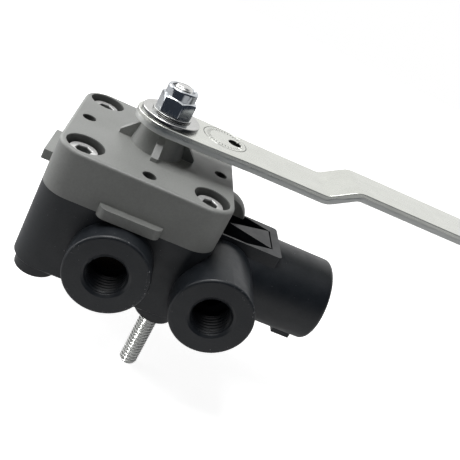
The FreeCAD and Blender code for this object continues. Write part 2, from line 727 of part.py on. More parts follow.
def lock_nut():
    """A hexagonal nut with chamfered corners and a round collar that holds the locking insert."""
    nut = hexagon(NUT_FLATS, at(0, 0, small_washer_top), at(0, 0, nut_top), NUT_TURN)
    corner = NUT_FLATS / sqrt(3)
    face = NUT_FLATS / 2 - NUT_FACE_INSET
    bottom = small_washer_top + NUT_CHAMFER
    top = nut_top - NUT_CHAMFER
    trim = rod(corner, at(0, 0, bottom), at(0, 0, top)).multiFuse([
        cone(face, corner, at(0, 0, small_washer_top), at(0, 0, bottom)),
        cone(corner, face, at(0, 0, top), at(0, 0, nut_top)),
    ])
    collar = rod(COLLAR_RADIUS, at(0, 0, bottom), at(0, 0, collar_top))
    collar = collar.makeChamfer(COLLAR_CRIMP, edges_in_plane(collar, Z, collar_top))
    bore = rod(SHAFT_THREAD_RADIUS + RUNNING_GAP, at(0, 0, small_washer_top), at(0, 0, collar_top))
    mouth = rod(COLLAR_RADIUS - COLLAR_CRIMP - COLLAR_LIP, at(0, 0, nut_top), at(0, 0, collar_top))
    return nut.common(trim).fuse(collar).cut([bore, mouth, nut_insert_space()])


def nut_insert():
    return nut_insert_space().cut(rod(SHAFT_THREAD_RADIUS + RUNNING_GAP, at(0, 0, nut_top - NUT_HEIGHT),
                                      at(0, 0, collar_top)))


# Plunger in the body, driven by the crank pin

def seal_groove(x, radius):
    """The groove round a piston or plunger that holds its seal."""
    side = SEAL_WIDTH / 2 + SEAL_GROOVE_GAP
    floor = radius - SEAL_HEIGHT - SEAL_FLOOR_GAP
    return tube(radius + SEAL_HEIGHT, floor, on_valve_axis(x - side), on_valve_axis(x + side))


def seal(x, radius):
    """A square-section seal that fills its groove up to the piston's own radius."""
    side = SEAL_WIDTH / 2
    return tube(radius, radius - SEAL_HEIGHT, on_valve_axis(x - side), on_valve_axis(x + side))


def plunger():
    spool = rod(plunger_radius, on_valve_axis(-PLUNGER_LENGTH / 2), on_valve_axis(PLUNGER_LENGTH / 2))
    side = PIN_RADIUS + PIN_PLAY
    slot = box(-side, side, VALVE_AXIS_Y - plunger_radius, VALVE_AXIS_Y + plunger_radius,
               pin_bottom - PIN_END_GAP, port_axis_z + plunger_radius)
    return spool.cut([slot] + [seal_groove(x, plunger_radius) for x in (-plunger_seal_x, plunger_seal_x)])


def plunger_seals():
    return Part.makeCompound([seal(x, plunger_radius) for x in (-plunger_seal_x, plunger_seal_x)])


def bore_plug():
    """The plug that closes the plunger's bore in the left wall, with a hexagon socket."""
    plug = rod(BORE_PLUG_RADIUS - PRESS_GAP, on_valve_axis(-half), on_valve_axis(plunger_bore_start))
    socket_floor = on_valve_axis(-half + BORE_PLUG_SOCKET_DEPTH)
    return plug.cut(hexagon(BORE_PLUG_SOCKET_FLATS, on_valve_axis(-half), socket_floor))


# Inlet check valve

def inlet_filter():
    return rod(FILTER_RADIUS - PRESS_GAP, on_port_axis(0, port_bore_end), on_port_axis(0, check_start))


def check_seat():
    return tube(CHECK_CHAMBER_RADIUS - PRESS_GAP, CHECK_SEAT_HOLE, on_port_axis(0, check_start),
                on_port_axis(0, check_start + CHECK_SEAT_THICKNESS))


def check_poppet():
    """A flat disc with a spigot that centres its spring."""
    shoulder = check_face + CHECK_POPPET_THICKNESS
    disc = rod(CHECK_CHAMBER_RADIUS - SLIDING_GAP, on_port_axis(0, check_face), on_port_axis(0, shoulder))
    return disc.fuse(rod(CHECK_SPIGOT_RADIUS, on_port_axis(0, shoulder),
                         on_port_axis(0, shoulder + CHECK_SPIGOT_LENGTH)))


def check_spring():
    return spring(CHECK_SPRING_RADIUS, on_port_axis(0, check_end),
                  on_port_axis(0, check_face + CHECK_POPPET_THICKNESS))


# Dump valve

def dump_piston():
    disc = rod(piston_radius, on_valve_axis(piston_front), on_valve_axis(piston_back))
    stem = rod(PASSAGE_RADIUS - SLIDING_GAP, on_valve_axis(stem_end), on_valve_axis(piston_front))
    return disc.fuse(stem).cut(seal_groove(piston_middle, piston_radius))


def dump_piston_seal():
    return seal(piston_middle, piston_radius)


def dump_spring():
    return spring(DUMP_SPRING_RADIUS, on_valve_axis(dump_chamber_start), on_valve_axis(piston_front))


def dump_end_cap():
    """The plug of the dump cylinder, with the pilot port in its outer face."""
    radius = END_CAP_RADIUS - PRESS_GAP
    cap = rod(radius, on_valve_axis(dump_chamber_end), on_valve_axis(end_cap_face))
    bore_floor = end_cap_face - PILOT_BORE_DEPTH
    return cap.cut([
        rod(PILOT_HOLE_RADIUS, on_valve_axis(dump_chamber_end), on_valve_axis(end_cap_face)),
        rod(PORT_BORE_RADIUS, on_valve_axis(bore_floor), on_valve_axis(end_cap_face)),
        cone(PORT_BORE_RADIUS, PORT_MOUTH_RADIUS, on_valve_axis(end_cap_face - PORT_MOUTH_DEPTH),
             on_valve_axis(end_cap_face)),
        seal_groove(end_cap_middle, radius),
    ])


def end_cap_seal():
    return seal(end_cap_middle, END_CAP_RADIUS - PRESS_GAP)


def retaining_ring():
    """An open spring ring in its groove, which holds the end cap."""
    end = end_cap_face + RETAINING_RING_THICKNESS
    outer = END_CAP_RADIUS + RETAINING_RING_DEPTH - PRESS_GAP
    inner = END_CAP_RADIUS - RETAINING_RING_WIDTH
    band = tube(outer, inner, on_valve_axis(end_cap_face), on_valve_axis(end))
    side = RETAINING_RING_OPENING / 2
    return band.cut(box(end_cap_face, end, VALVE_AXIS_Y - side, VALVE_AXIS_Y + side, port_axis_z,
                        port_axis_z + DUMP_RADIUS))


# Seals and exhaust

def cap_seal():
    return tube(CAP_SEAL_RADIUS + CAP_SEAL_WIDTH / 2, CAP_SEAL_RADIUS - CAP_SEAL_WIDTH / 2,
                at(0, 0, split_z - CAP_SEAL_HEIGHT), at(0, 0, split_z))


def exhaust_flap():
    return tube(FLAP_RADIUS, RETAINER_STEM_RADIUS, at(0, 0, flap_bottom), at(0, 0, exhaust_roof))


def flap_retainer():
    head = rod(RETAINER_HEAD_RADIUS, at(0, 0, flap_bottom - RETAINER_HEAD_HEIGHT), at(0, 0, flap_bottom))
    return head.fuse(rod(RETAINER_STEM_RADIUS, at(0, 0, flap_bottom), at(0, 0, stem_hole_top)))


PIECES = [
    cap_housing, valve_body, cap_screws, thread_inserts, mounting_studs, cap_seal,
    lever_shaft, shaft_bushing, shaft_seal, thrust_washer,
    lever_arm, flat_washer, small_washer, lock_nut, nut_insert,
    plunger, plunger_seals, bore_plug,
    inlet_filter, check_seat, check_poppet, check_spring,
    dump_piston, dump_piston_seal, dump_spring, dump_end_cap, end_cap_seal, retaining_ring,
    exhaust_flap, flap_retainer,
]

os.makedirs("parts", exist_ok=True)
for piece in PIECES:
    shape = piece()
    print(piece.__name__, len(shape.Solids), "solids", round(shape.Volume, 1), "mm3 valid", shape.isValid())
    shape.exportStep("parts/" + piece.__name__ + ".step")
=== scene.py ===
# %% [markdown]
# A leveling valve keeps a truck or trailer at its ride height. Its lever follows the axle, turns a shaft in the
# housing, and lets air into or out of the springs. The housing is a grey moulded cap on a black moulded body. The
# lever, nut, washers, screws and studs are zinc-plated steel.
#
# The solids come packed from the CAD step, one mesh for each node, already in place and at real size in metres.
# This lesson gives them their finish, swaps a few for pieces with finer detail, and sets the light and the camera.

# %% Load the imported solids
from math import atan2, cos, pi, radians, sin
import bmesh
import bpy
from mathutils import Matrix, Quaternion, Vector


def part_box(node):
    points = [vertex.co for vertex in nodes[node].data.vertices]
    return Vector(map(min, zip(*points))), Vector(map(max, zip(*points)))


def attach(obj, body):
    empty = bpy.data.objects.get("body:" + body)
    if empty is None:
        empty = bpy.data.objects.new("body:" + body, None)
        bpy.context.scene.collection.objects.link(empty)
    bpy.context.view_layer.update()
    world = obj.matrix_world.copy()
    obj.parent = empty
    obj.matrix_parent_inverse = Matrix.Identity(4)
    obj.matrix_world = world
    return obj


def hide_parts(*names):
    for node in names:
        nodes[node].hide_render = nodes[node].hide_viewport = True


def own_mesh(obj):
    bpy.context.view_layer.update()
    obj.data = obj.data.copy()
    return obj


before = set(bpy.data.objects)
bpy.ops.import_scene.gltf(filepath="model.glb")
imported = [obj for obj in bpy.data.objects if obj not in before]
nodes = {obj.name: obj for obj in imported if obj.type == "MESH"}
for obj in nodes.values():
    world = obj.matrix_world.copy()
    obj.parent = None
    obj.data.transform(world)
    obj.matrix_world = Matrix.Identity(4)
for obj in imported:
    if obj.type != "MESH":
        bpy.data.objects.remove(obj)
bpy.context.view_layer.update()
MM = 0.001

# %% [markdown]
# The camera comes first, because every later choice is judged through it. The photograph was taken from close by,
# so its perspective is strong: the near port looks much larger than the far end of the lever. The place and the
# lens were worked out from the cap's four screws, the ports and the lever. The picture is turned by about 27
# degrees, which is the roll below, and shifted, because the photograph is a part of a larger frame.

# %% Camera
AZIMUTH = radians(-10.418)
ELEVATION = radians(18.416)
ROLL = radians(27.436)
CAMERA_PLACE = (-0.01577, -0.19949, 0.12436)
LENS = 49.527
SHIFT = (0.00823, -0.18561)


def placed(name, data):
    """A new object of the scene, at the origin, that shows some data."""
    thing = bpy.data.objects.new(name, data)
    bpy.context.scene.collection.objects.link(thing)
    return thing


def aim(azimuth, elevation, roll):
    """The turn of a camera that looks down at the object from an azimuth and an elevation."""
    back = Vector((sin(azimuth) * cos(elevation), -cos(azimuth) * cos(elevation), sin(elevation)))
    return (-back).to_track_quat("-Z", "Y") @ Quaternion((0, 0, 1), roll)


camera = placed("camera", bpy.data.cameras.new("camera"))
camera.location = CAMERA_PLACE
camera.rotation_mode = "QUATERNION"
camera.rotation_quaternion = aim(AZIMUTH, ELEVATION, ROLL)
camera.data.lens = LENS
camera.data.shift_x, camera.data.shift_y = SHIFT
camera.data.clip_start = 0.01
bpy.context.scene.camera = camera
bpy.context.scene.view_settings.view_transform = "Standard"
print("camera at", [round(value, 4) for value in camera.location], "lens", camera.data.lens)

# %% [markdown]
# Every finish below is a small graph of shader nodes on Object coordinates, which are metres here, so a noise with
# a scale of 1000 has a grain of about a millimetre. One function adds a node to any graph and wires it. The class
# starts a material, and its methods are the building blocks that come back in every finish.

# %% Helpers for finishes
def wired(tree, kind, inputs=(), **settings):
    """Adds a node to a tree, sets its properties, and links or fills its inputs by name or number."""
    made = tree.nodes.new(kind)
    for key, value in settings.items():
        setattr(made, key, value)
    for key, value in dict(inputs).items():
        if isinstance(value, bpy.types.NodeSocket):
            tree.links.new(value, made.inputs[key])
        else:
            made.inputs[key].default_value = value
    return made


class Finish:
    """A material whose graph is wired by short calls."""

    def __init__(self, name, metallic=0.0, specular=0.5):
        self.material = bpy.data.materials.new(name)
        self.material.use_nodes = True
        self.tree = self.material.node_tree
        self.tree.nodes.clear()
        self.shader = self.node("ShaderNodeBsdfPrincipled", {"Metallic": metallic, "Specular IOR Level": specular})
        self.node("ShaderNodeOutputMaterial", {"Surface": self.shader.outputs["BSDF"]})
        self.place = self.node("ShaderNodeTexCoord").outputs["Object"]

    def node(self, kind, inputs=(), **settings):
        return wired(self.tree, kind, inputs, **settings)

    def calc(self, operation, first, second=0.0):
        return self.node("ShaderNodeMath", {0: first, 1: second}, operation=operation).outputs[0]

    def parts(self, vector=None):
        """The X, Y and Z of a vector, or of the place on the piece."""
        return self.node("ShaderNodeSeparateXYZ", {0: vector or self.place}).outputs

    def stretched(self, scale, turn=(0, 0, 0)):
        """The place turned and stretched, for grain that runs along a piece."""
        return self.node("ShaderNodeMapping", {"Vector": self.place, "Rotation": turn, "Scale": scale}).outputs[0]

    def noise(self, scale, detail=3.0, roughness=0.55, place=None):
        return self.node("ShaderNodeTexNoise", {"Vector": place or self.place, "Scale": scale, "Detail": detail,
                                                "Roughness": roughness}).outputs["Fac"]

    def between(self, value, low, high, to_low=0.0, to_high=1.0):
        """Maps a value from one range to another, held inside it."""
        return self.node("ShaderNodeMapRange", {"Value": value, "From Min": low, "From Max": high,
                                                "To Min": to_low, "To Max": to_high}).outputs["Result"]

    def far(self, first, second, first_middle=0.0, second_middle=0.0):
        """Distance from an axis that stands at two coordinates."""
        one = self.calc("SUBTRACT", first, first_middle)
        other = self.calc("SUBTRACT", second, second_middle)
        return self.calc("SQRT", self.calc("ADD", self.calc("MULTIPLY", one, one),
                                           self.calc("MULTIPLY", other, other)))

    def blend(self, factor, first, second):
        """Mixes two colours, each a tuple or a socket."""
        colors = [value if isinstance(value, bpy.types.NodeSocket) else (*value, 1.0) for value in (first, second)]
        return self.node("ShaderNodeMix", {0: factor, 6: colors[0], 7: colors[1]}, data_type="RGBA").outputs[2]

    def bump(self, height, depth, under=None):
        """A bump of a depth in metres, laid over another one."""
        inputs = {"Height": height, "Distance": depth, "Strength": 1.0}
        if under is not None:
            inputs["Normal"] = under
        return self.node("ShaderNodeBump", inputs).outputs["Normal"]

    def paint(self, color, roughness, normal=None):
        """Wires or fills the shader's colour, roughness and normal."""
        for key, value in (("Base Color", color), ("Roughness", roughness), ("Normal", normal)):
            if isinstance(value, bpy.types.NodeSocket):
                self.tree.links.new(value, self.shader.inputs[key])
            elif value is not None:
                self.shader.inputs[key].default_value = value
        return self.material


print("helpers ready")

# %% [markdown]
# The grey cap is glass-filled nylon. Up close it isn't one grey: the fibres leave a fine salt-and-pepper grain, and
# the melt leaves soft clouds. The tone changes are small, because the photograph shows a calm satin surface, and
# the grain also goes into a shallow bump that breaks up the gloss.
#
# The counterbores and pin holes of the cap carry painted shade: below the cap's top they are darker, and a mask
# finds them by their distance from the screws' and pins' axes. The cap is the same on all four sides, so taking the
# coordinates without their sign lets one screw and one pin stand for all. Painted shade also darkens the boss towards
# its side under the lever.

# %% Grey moulded cap
FIBRE_DEPTH = 0.01 * MM
SWELL_DEPTH = 0.06 * MM
CAP_TOP = 46.0 * MM
SCREW_OFFSET = 21.1 * MM
WELL_RADIUS = 6.4 * MM
PIN_CIRCLE = 24.1 * MM
PIN_RADIUS = 2.5 * MM
BOSS_REACH = 13.6 * MM
CAP_DARK, CAP_LIGHT = (0.30, 0.307, 0.295), (0.36, 0.367, 0.355)
HOLE_SHADE = (0.05, 0.052, 0.05)
BOSS_SHADE = (0.05, 0.055, 0.06)


def moulded(name, dark, light, gloss):
    """Glass-filled plastic with clouds, a fine fibre grain and a satin gloss."""
    finish = Finish(name)
    clouds = finish.noise(60.0, 4.0)
    fibres = finish.noise(1500.0, 2.0, 0.7)
    both = finish.calc("ADD", finish.calc("MULTIPLY", clouds, 0.6), finish.calc("MULTIPLY", fibres, 0.4))
    tone = finish.blend(finish.between(both, 0.38, 0.62), dark, light)
    rough = finish.between(finish.noise(240.0, 3.0), 0.35, 0.65, gloss - 0.05, gloss + 0.06)
    pits = finish.bump(fibres, FIBRE_DEPTH)
    swell = finish.bump(finish.noise(90.0, 2.0), SWELL_DEPTH, pits)
    return finish, tone, rough, swell


finish, tone, rough, swell = moulded("grey_cap_plastic", CAP_DARK, CAP_LIGHT, 0.46)
across = finish.parts(finish.node("ShaderNodeVectorMath", {0: finish.place}, operation="ABSOLUTE").outputs[0])
to_screw = finish.far(across["X"], across["Y"], SCREW_OFFSET, SCREW_OFFSET)
wide = finish.calc("MAXIMUM", across["X"], across["Y"])
narrow = finish.calc("MINIMUM", across["X"], across["Y"])
to_pin = finish.far(wide, narrow, PIN_CIRCLE, 0.0)
# Painted shade: the counterbores and pin holes turn darker below the cap's top.
in_hole = finish.calc("MAXIMUM", finish.calc("LESS_THAN", to_screw, WELL_RADIUS),
                      finish.calc("LESS_THAN", to_pin, PIN_RADIUS))
below_top = finish.between(across["Z"], CAP_TOP - 0.5 * MM, CAP_TOP - 0.15 * MM, 0.8, 0.0)
tone = finish.blend(finish.calc("MULTIPLY", in_hole, below_top), tone, HOLE_SHADE)
split = finish.parts()
# Painted shade: the boss turns darker towards its side under the lever.
on_boss = finish.calc("MULTIPLY", finish.calc("GREATER_THAN", split["Z"], CAP_TOP + 0.1 * MM),
                      finish.calc("LESS_THAN", finish.far(split["X"], split["Y"]), BOSS_REACH))
boss_shade_side = finish.between(split["X"], 1.5 * MM, 6.0 * MM, 0.0, 0.6)
tone = finish.blend(finish.calc("MULTIPLY", on_boss, boss_shade_side), tone, BOSS_SHADE)
grey_cap = finish.paint(tone, rough, swell)
print("grey cap finish:", len(finish.tree.nodes), "nodes")

# %% [markdown]
# The body is the same kind of plastic in black, with a cold blue cast. Its rims carry small white scuffs where
# fittings and boxes have touched them. They are kept to thin rings round the two port faces, and a noise with a high
# threshold leaves only a few specks of each ring. A little dust lies on the rest.

# %% Black moulded body
PORT_HEIGHT = 16.6 * MM
PORT_CENTRES = ((0.0, PORT_HEIGHT), (34.7 * MM, PORT_HEIGHT))
PORT_FACE_Y = -38.0 * MM
PORT_RIM = 13.1 * MM
SCUFF = (0.42, 0.43, 0.44)

finish, tone, rough, swell = moulded("black_body_plastic", (0.0125, 0.0155, 0.0195), (0.0215, 0.025, 0.030), 0.38)
split = finish.parts()
near_face = finish.between(split["Y"], PORT_FACE_Y + 1.0 * MM, PORT_FACE_Y + 2.2 * MM, 1.0, 0.0)
scuffs = 0.0
for x, z in PORT_CENTRES:
    from_rim = finish.calc("ABSOLUTE", finish.calc("SUBTRACT", finish.far(split["X"], split["Z"], x, z), PORT_RIM))
    on_rim = finish.between(from_rim, 0.2 * MM, 1.6 * MM, 1.0, 0.0)
    scuffs = finish.calc("MAXIMUM", finish.calc("MULTIPLY", on_rim, near_face), scuffs)
specks = finish.between(finish.noise(1300.0, 3.0, 0.75), 0.6, 0.68)
patches = finish.between(finish.noise(150.0, 2.0), 0.47, 0.6)
worn = finish.calc("MULTIPLY", scuffs, finish.calc("MULTIPLY", specks, patches))
dust = finish.calc("MULTIPLY", finish.between(finish.noise(900.0, 2.0, 0.8), 0.735, 0.76), 0.5)
tone = finish.blend(finish.calc("MAXIMUM", worn, dust), tone, SCUFF)
black_body = finish.paint(tone, rough, swell)
finish, tone, rough, swell = moulded("black_plug_plastic", (0.02, 0.021, 0.023), (0.03, 0.031, 0.033), 0.36)
black_plug = finish.paint(tone, rough, swell)
print("black finishes:", len(black_body.node_tree.nodes), "nodes")

# %% [markdown]
# Zinc plate is bright but never a mirror: it takes the fine lines of the steel below it, with slightly milky spots.
# One recipe serves every plated piece. Its grain is a noise stretched along one direction, so the lever shows the
# rolling lines of its strip.
#
# Three pieces also carry painted shade. A screw is darker everywhere a little below its head's top, down its socket
# and on its side, a washer on its rim, where its faces stand upright, and a stud in the grooves of its thread. The
# thread stores how deep each point lies as "groove", and the finish of the studs reads it. Screws and studs are also
# less metallic than the rest, so they look pale from every side instead of mirroring the dark room.

# %% Zinc plate
PLATE_SHADE = (0.20, 0.205, 0.20)
RIM_SHADE = (0.15, 0.154, 0.158)


def plated(name, color, gloss, along=(1, 1, 1), turn=(0, 0, 0), lines=0.004 * MM, cloud=0.12, metallic=1.0):
    """Zinc-plated steel with a stretched grain and milky clouds."""
    finish = Finish(name, metallic=metallic)
    grain = finish.noise(900.0, 4.0, 0.7, finish.stretched(along, turn))
    milk = finish.noise(160.0, 3.0)
    darker = tuple(value * (1 - cloud) for value in color)
    tone = finish.blend(finish.between(milk, 0.35, 0.65), darker, color)
    rough = finish.between(grain, 0.3, 0.7, gloss - 0.05, gloss + 0.09)
    return finish, tone, rough, finish.bump(grain, lines)


def zinc(name, color, gloss, **more):
    """A plated finish with nothing more to it, which also serves the other metals."""
    finish, tone, rough, normal = plated(name, color, gloss, **more)
    return finish.paint(tone, rough, normal)


finish, tone, rough, normal = plated("zinc_screws", (0.96, 0.96, 0.95), 0.2, lines=0.002 * MM, cloud=0.05,
                                     metallic=0.4)
head_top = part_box("cap_screws")[1].z
# Painted shade: the screw turns darker more than about half a millimetre below its head's top.
deep = finish.between(finish.parts()["Z"], head_top - 0.7 * MM, head_top - 0.25 * MM, 1.0, 0.0)
zinc_screws = finish.paint(finish.blend(deep, tone, PLATE_SHADE), rough, normal)

finish, tone, rough, normal = plated("zinc_washers", (0.60, 0.60, 0.585), 0.2, lines=0.002 * MM)
facing = finish.parts(finish.node("ShaderNodeNewGeometry").outputs["Normal"])
# Painted shade: the washers' upright faces are darker.
rim = finish.between(finish.calc("ABSOLUTE", facing["Z"]), 0.1, 0.4, 1.0, 0.0)
zinc_washers = finish.paint(finish.blend(rim, tone, RIM_SHADE), rough, normal)

finish, tone, rough, normal = plated("zinc_studs", (0.96, 0.97, 0.94), 0.22, metallic=0.7)
# Painted shade: the thread's grooves are darker, by the stored groove depth.
groove_depth = finish.node("ShaderNodeAttribute", attribute_name="groove").outputs["Fac"]
zinc_studs = finish.paint(finish.blend(finish.between(groove_depth, 0.4, 1.0), tone, PLATE_SHADE), rough, normal)

zinc_nut = zinc("zinc_nut", (0.62, 0.645, 0.675), 0.12, lines=0.001 * MM)
shaft_steel = zinc("shaft_steel", (0.72, 0.72, 0.71), 0.2)
spring_steel = zinc("spring_steel", (0.42, 0.42, 0.43), 0.3)
aluminium = zinc("plunger_aluminium", (0.80, 0.80, 0.82), 0.3, along=(0.05, 1, 1))
brass = zinc("brass_inserts", (0.80, 0.62, 0.30), 0.28)
bronze = zinc("bushing_bronze", (0.62, 0.43, 0.24), 0.42, lines=0.01 * MM)
print("plated and turned metals: 9 finishes")

# %% [markdown]
# Three soft or sintered finishes are hardly seen, but every piece has one of its own: the rubber of the seals, the
# bronze grains of the inlet filter, and the nylon of the thrust washer and of the nut's locking ring, which is pale
# in the washer and dark in the ring.

# %% Rubber, sintered bronze and nylon
finish = Finish("seal_rubber", specular=0.35)
bloom = finish.noise(300.0, 4.0)
seal_rubber = finish.paint(finish.blend(bloom, (0.018, 0.018, 0.018), (0.035, 0.034, 0.033)),
                           finish.between(bloom, 0.3, 0.7, 0.55, 0.75), finish.bump(finish.noise(2200.0), 0.01 * MM))
finish = Finish("filter_bronze", metallic=1.0)
grains = finish.node("ShaderNodeTexVoronoi", {"Vector": finish.place, "Scale": 3200.0}).outputs["Distance"]
filter_bronze = finish.paint(finish.blend(grains, (0.09, 0.07, 0.05), (0.02, 0.016, 0.012)), 0.55,
                             finish.bump(grains, -0.1 * MM))


def nylon(name, dark, light):
    """Moulded plastic that lets a little light in."""
    finish, tone, rough, swell = moulded(name, dark, light, 0.4)
    finish.shader.inputs["Subsurface Weight"].default_value = 0.2
    finish.shader.inputs["Subsurface Radius"].default_value = (MM, MM, MM)
    return finish.paint(tone, rough, swell)


washer_plastic = nylon("washer_plastic", (0.66, 0.64, 0.58), (0.78, 0.76, 0.70))
nut_plastic = nylon("nut_plastic", (0.05, 0.055, 0.06), (0.09, 0.095, 0.10))
print("rubber, filter and nylon finishes ready")

# %% [markdown]
# The lever is the brightest piece. Its top has a fine rolled grain, and beside the shaft a plain round stamp with
# ticks, whose grooves carry painted shade. Its side was sheared: the upper third is burnished and smooth, and the
# rest is a rough break. The height above the arm's underside, stored on the mesh as "rise", tells one from the other
# even where the arm bends, and it also finds the bottom of the stamp.

# %% Lever finish
ARM_TURN = radians(1.9)
RING_CENTRE = (20.18 * MM, 2.79 * MM, 0.0)
RING_RADIUS = 8.0 * MM
TORN_STEEL = (0.70, 0.71, 0.69)
STAMP_SHADE = (0.10, 0.105, 0.10)

finish, tone, rough, normal = plated("zinc_arm", (0.70, 0.71, 0.665), 0.27, along=(0.12, 1, 1),
                                     turn=(0, 0, -ARM_TURN), cloud=0.06)
split = finish.parts()
facing = finish.parts(finish.node("ShaderNodeNewGeometry").outputs["Normal"])
rise = finish.node("ShaderNodeAttribute", attribute_name="rise").outputs["Fac"]
sides = finish.between(finish.calc("ABSOLUTE", facing["Z"]), 0.2, 0.6, 1.0, 0.0)
ragged = finish.noise(700.0, 4.0, 0.7, finish.stretched((0.35, 1, 1)))
broken = finish.between(finish.calc("ADD", rise, finish.calc("MULTIPLY", ragged, 0.35)), 0.62, 0.78, 1.0, 0.0)
torn = finish.calc("MULTIPLY", broken, sides)
in_ring = finish.calc("LESS_THAN", finish.far(split["X"], split["Y"], *RING_CENTRE[:2]), RING_RADIUS + 0.6 * MM)
# Painted shade: the floor of the stamp's groove is darker.
stamped = finish.calc("MULTIPLY", finish.between(rise, 0.96, 0.985, 1.0, 0.0), in_ring)
tone = finish.blend(stamped, finish.blend(torn, tone, TORN_STEEL), STAMP_SHADE)
rough = finish.calc("ADD", rough, finish.calc("MULTIPLY", torn, 0.15))
normal = finish.bump(finish.calc("MULTIPLY", torn, ragged), 0.12 * MM, normal)
zinc_arm = finish.paint(tone, rough, normal)
print("lever finish:", len(finish.tree.nodes), "nodes")

# %% [markdown]
# Each CAD node now takes its finish. The visible ones that get finer edges or threads are copied and replaced further
# down, and use the same materials.

# %% Give each node its finish
FINISHES = {
    "cap_housing": grey_cap, "valve_body": black_body, "cap_screws": zinc_screws, "thread_inserts": brass,
    "mounting_studs": zinc_studs, "cap_seal": seal_rubber, "lever_shaft": shaft_steel, "shaft_bushing": bronze,
    "shaft_seal": seal_rubber, "thrust_washer": washer_plastic, "lever_arm": zinc_arm,
    "flat_washer": zinc_washers, "small_washer": zinc_washers, "lock_nut": zinc_nut, "nut_insert": nut_plastic,
    "plunger": aluminium, "plunger_seals": seal_rubber, "bore_plug": black_plug, "inlet_filter": filter_bronze,
    "check_seat": brass, "check_poppet": seal_rubber, "check_spring": spring_steel, "dump_piston": aluminium,
    "dump_piston_seal": seal_rubber, "dump_spring": spring_steel, "dump_end_cap": black_plug,
    "end_cap_seal": seal_rubber, "retaining_ring": spring_steel, "exhaust_flap": seal_rubber,
    "flap_retainer": black_plug,
}
for name, material in FINISHES.items():
    for slot in nodes[name].material_slots:
        slot.material = material
print("finished", len(FINISHES), "nodes")

# %% [markdown]
# Whatever repeats comes from Geometry Nodes: threads, screws, the knurl on their heads and the ticks of a stamp. A
# small class wires such a tree with short calls, as the other one does for finishes. A tree is run once on a holder,
# its mesh is kept as plain faces, and the holder goes away.

# %% Helpers for geometry trees
LENGTH = "NodeSocketFloat"
COUNT = "NodeSocketInt"
MATERIAL = "NodeSocketMaterial"
DOUBLES = 0.002 * MM


class Tree:
    """A geometry tree whose nodes are wired by short calls."""

    def __init__(self, name, inputs):
        self.tree = bpy.data.node_groups.new(name, "GeometryNodeTree")
        self.tree.interface.new_socket("Geometry", in_out="INPUT", socket_type="NodeSocketGeometry")
        self.tree.interface.new_socket("Geometry", in_out="OUTPUT", socket_type="NodeSocketGeometry")
        for key, (kind, default) in inputs.items():
            socket = self.tree.interface.new_socket(key, in_out="INPUT", socket_type=kind)
            if default is not None:
                socket.default_value = default
        self.given = self.tree.nodes.new("NodeGroupInput").outputs
        self.result = self.tree.nodes.new("NodeGroupOutput").inputs["Geometry"]

    def node(self, kind, inputs=(), **settings):
        return wired(self.tree, kind, inputs, **settings)

    def calc(self, operation, first, second=0.0):
        return self.node("ShaderNodeMath", {0: first, 1: second}, operation=operation).outputs[0]

    def join(self, *geometries):
        """Several geometries as one."""
        both = self.node("GeometryNodeJoinGeometry")
        for geometry in geometries:
            self.tree.links.new(geometry, both.inputs[0])
        return both.outputs[0]

    def close(self, geometry):
        """Realizes the instances, sets the given material and ends the tree."""
        real = self.node("GeometryNodeRealizeInstances", {0: geometry}).outputs[0]
        painted = self.node("GeometryNodeSetMaterial", {"Geometry": real, "Material": self.given["Material"]})
        self.tree.links.new(painted.outputs[0], self.result)
        return self.tree


def applied(thing):
    """The plain mesh that an object's modifiers make of it."""
    return bpy.data.meshes.new_from_object(thing.evaluated_get(bpy.context.evaluated_depsgraph_get()))


def shaded(mesh, angle):
    """The mesh, smooth except along edges sharper than an angle in degrees."""
    mesh.shade_smooth()
    mesh.set_sharp_from_angle(angle=radians(angle))
    return mesh


def open_edges(mesh):
    """The number of edges that don't have exactly two faces."""
    shape = bmesh.new()
    shape.from_mesh(mesh)
    count = sum(1 for edge in shape.edges if not edge.is_manifold)
    shape.free()
    return count


def grown(name, tree, sizes, start=None):
    """The plain mesh that a tree makes with the given sizes, from nothing or from a mesh."""
    holder = placed(name, start or bpy.data.meshes.new(name))
    modifier = holder.modifiers.new("tree", "NODES")
    modifier.node_group = tree
    for item in tree.interface.items_tree:
        if item.in_out == "INPUT" and item.name in sizes:
            modifier[item.identifier] = sizes[item.name]
    mesh = applied(holder)
    bpy.data.objects.remove(holder)
    shape = bmesh.new()
    shape.from_mesh(mesh)
    bmesh.ops.remove_doubles(shape, verts=shape.verts, dist=DOUBLES)
    bmesh.ops.recalc_face_normals(shape, faces=shape.faces)
    for face in shape.faces:
        face.material_index = 0
    shape.to_mesh(mesh)
    shape.free()
    mesh.materials.clear()
    mesh.materials.append(sizes["Material"])
    print(name, len(mesh.polygons), "faces of", sizes["Material"].name)
    return shaded(mesh, 32)


def shown(name, mesh, body, *replaced):
    """An object for a finished mesh, which rides on a body and stands for nodes."""
    piece = placed(name, mesh)
    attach(piece, body)
    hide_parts(*replaced)
    return piece


print("tree helpers ready")

# %% [markdown]
# A CAD mesh has knife edges, and real mouldings and turned parts don't: every edge catches a thin line of light. A
# copy of the mesh has its doubles merged and its flat faces joined, so that a bevel runs only along true edges. The
# copy then replaces the node, in the same place. Weighted normals keep its flat faces flat up to the narrow bevel.
# Where a piece is tapped or stamped, a cutter is taken out of it after the bevel, so those fine edges stay crisp.

# %% Soften the edges of visible nodes
def merged_copy(name, join_flats=False):
    """A copy of a node's mesh with its doubles merged and, if asked, its flat faces joined."""
    mesh = nodes[name].data.copy()
    shape = bmesh.new()
    shape.from_mesh(mesh)
    bmesh.ops.remove_doubles(shape, verts=shape.verts, dist=DOUBLES)
    if join_flats:
        bmesh.ops.dissolve_limit(shape, angle_limit=radians(0.6), verts=shape.verts, edges=shape.edges)
    shape.to_mesh(mesh)
    shape.free()
    return mesh


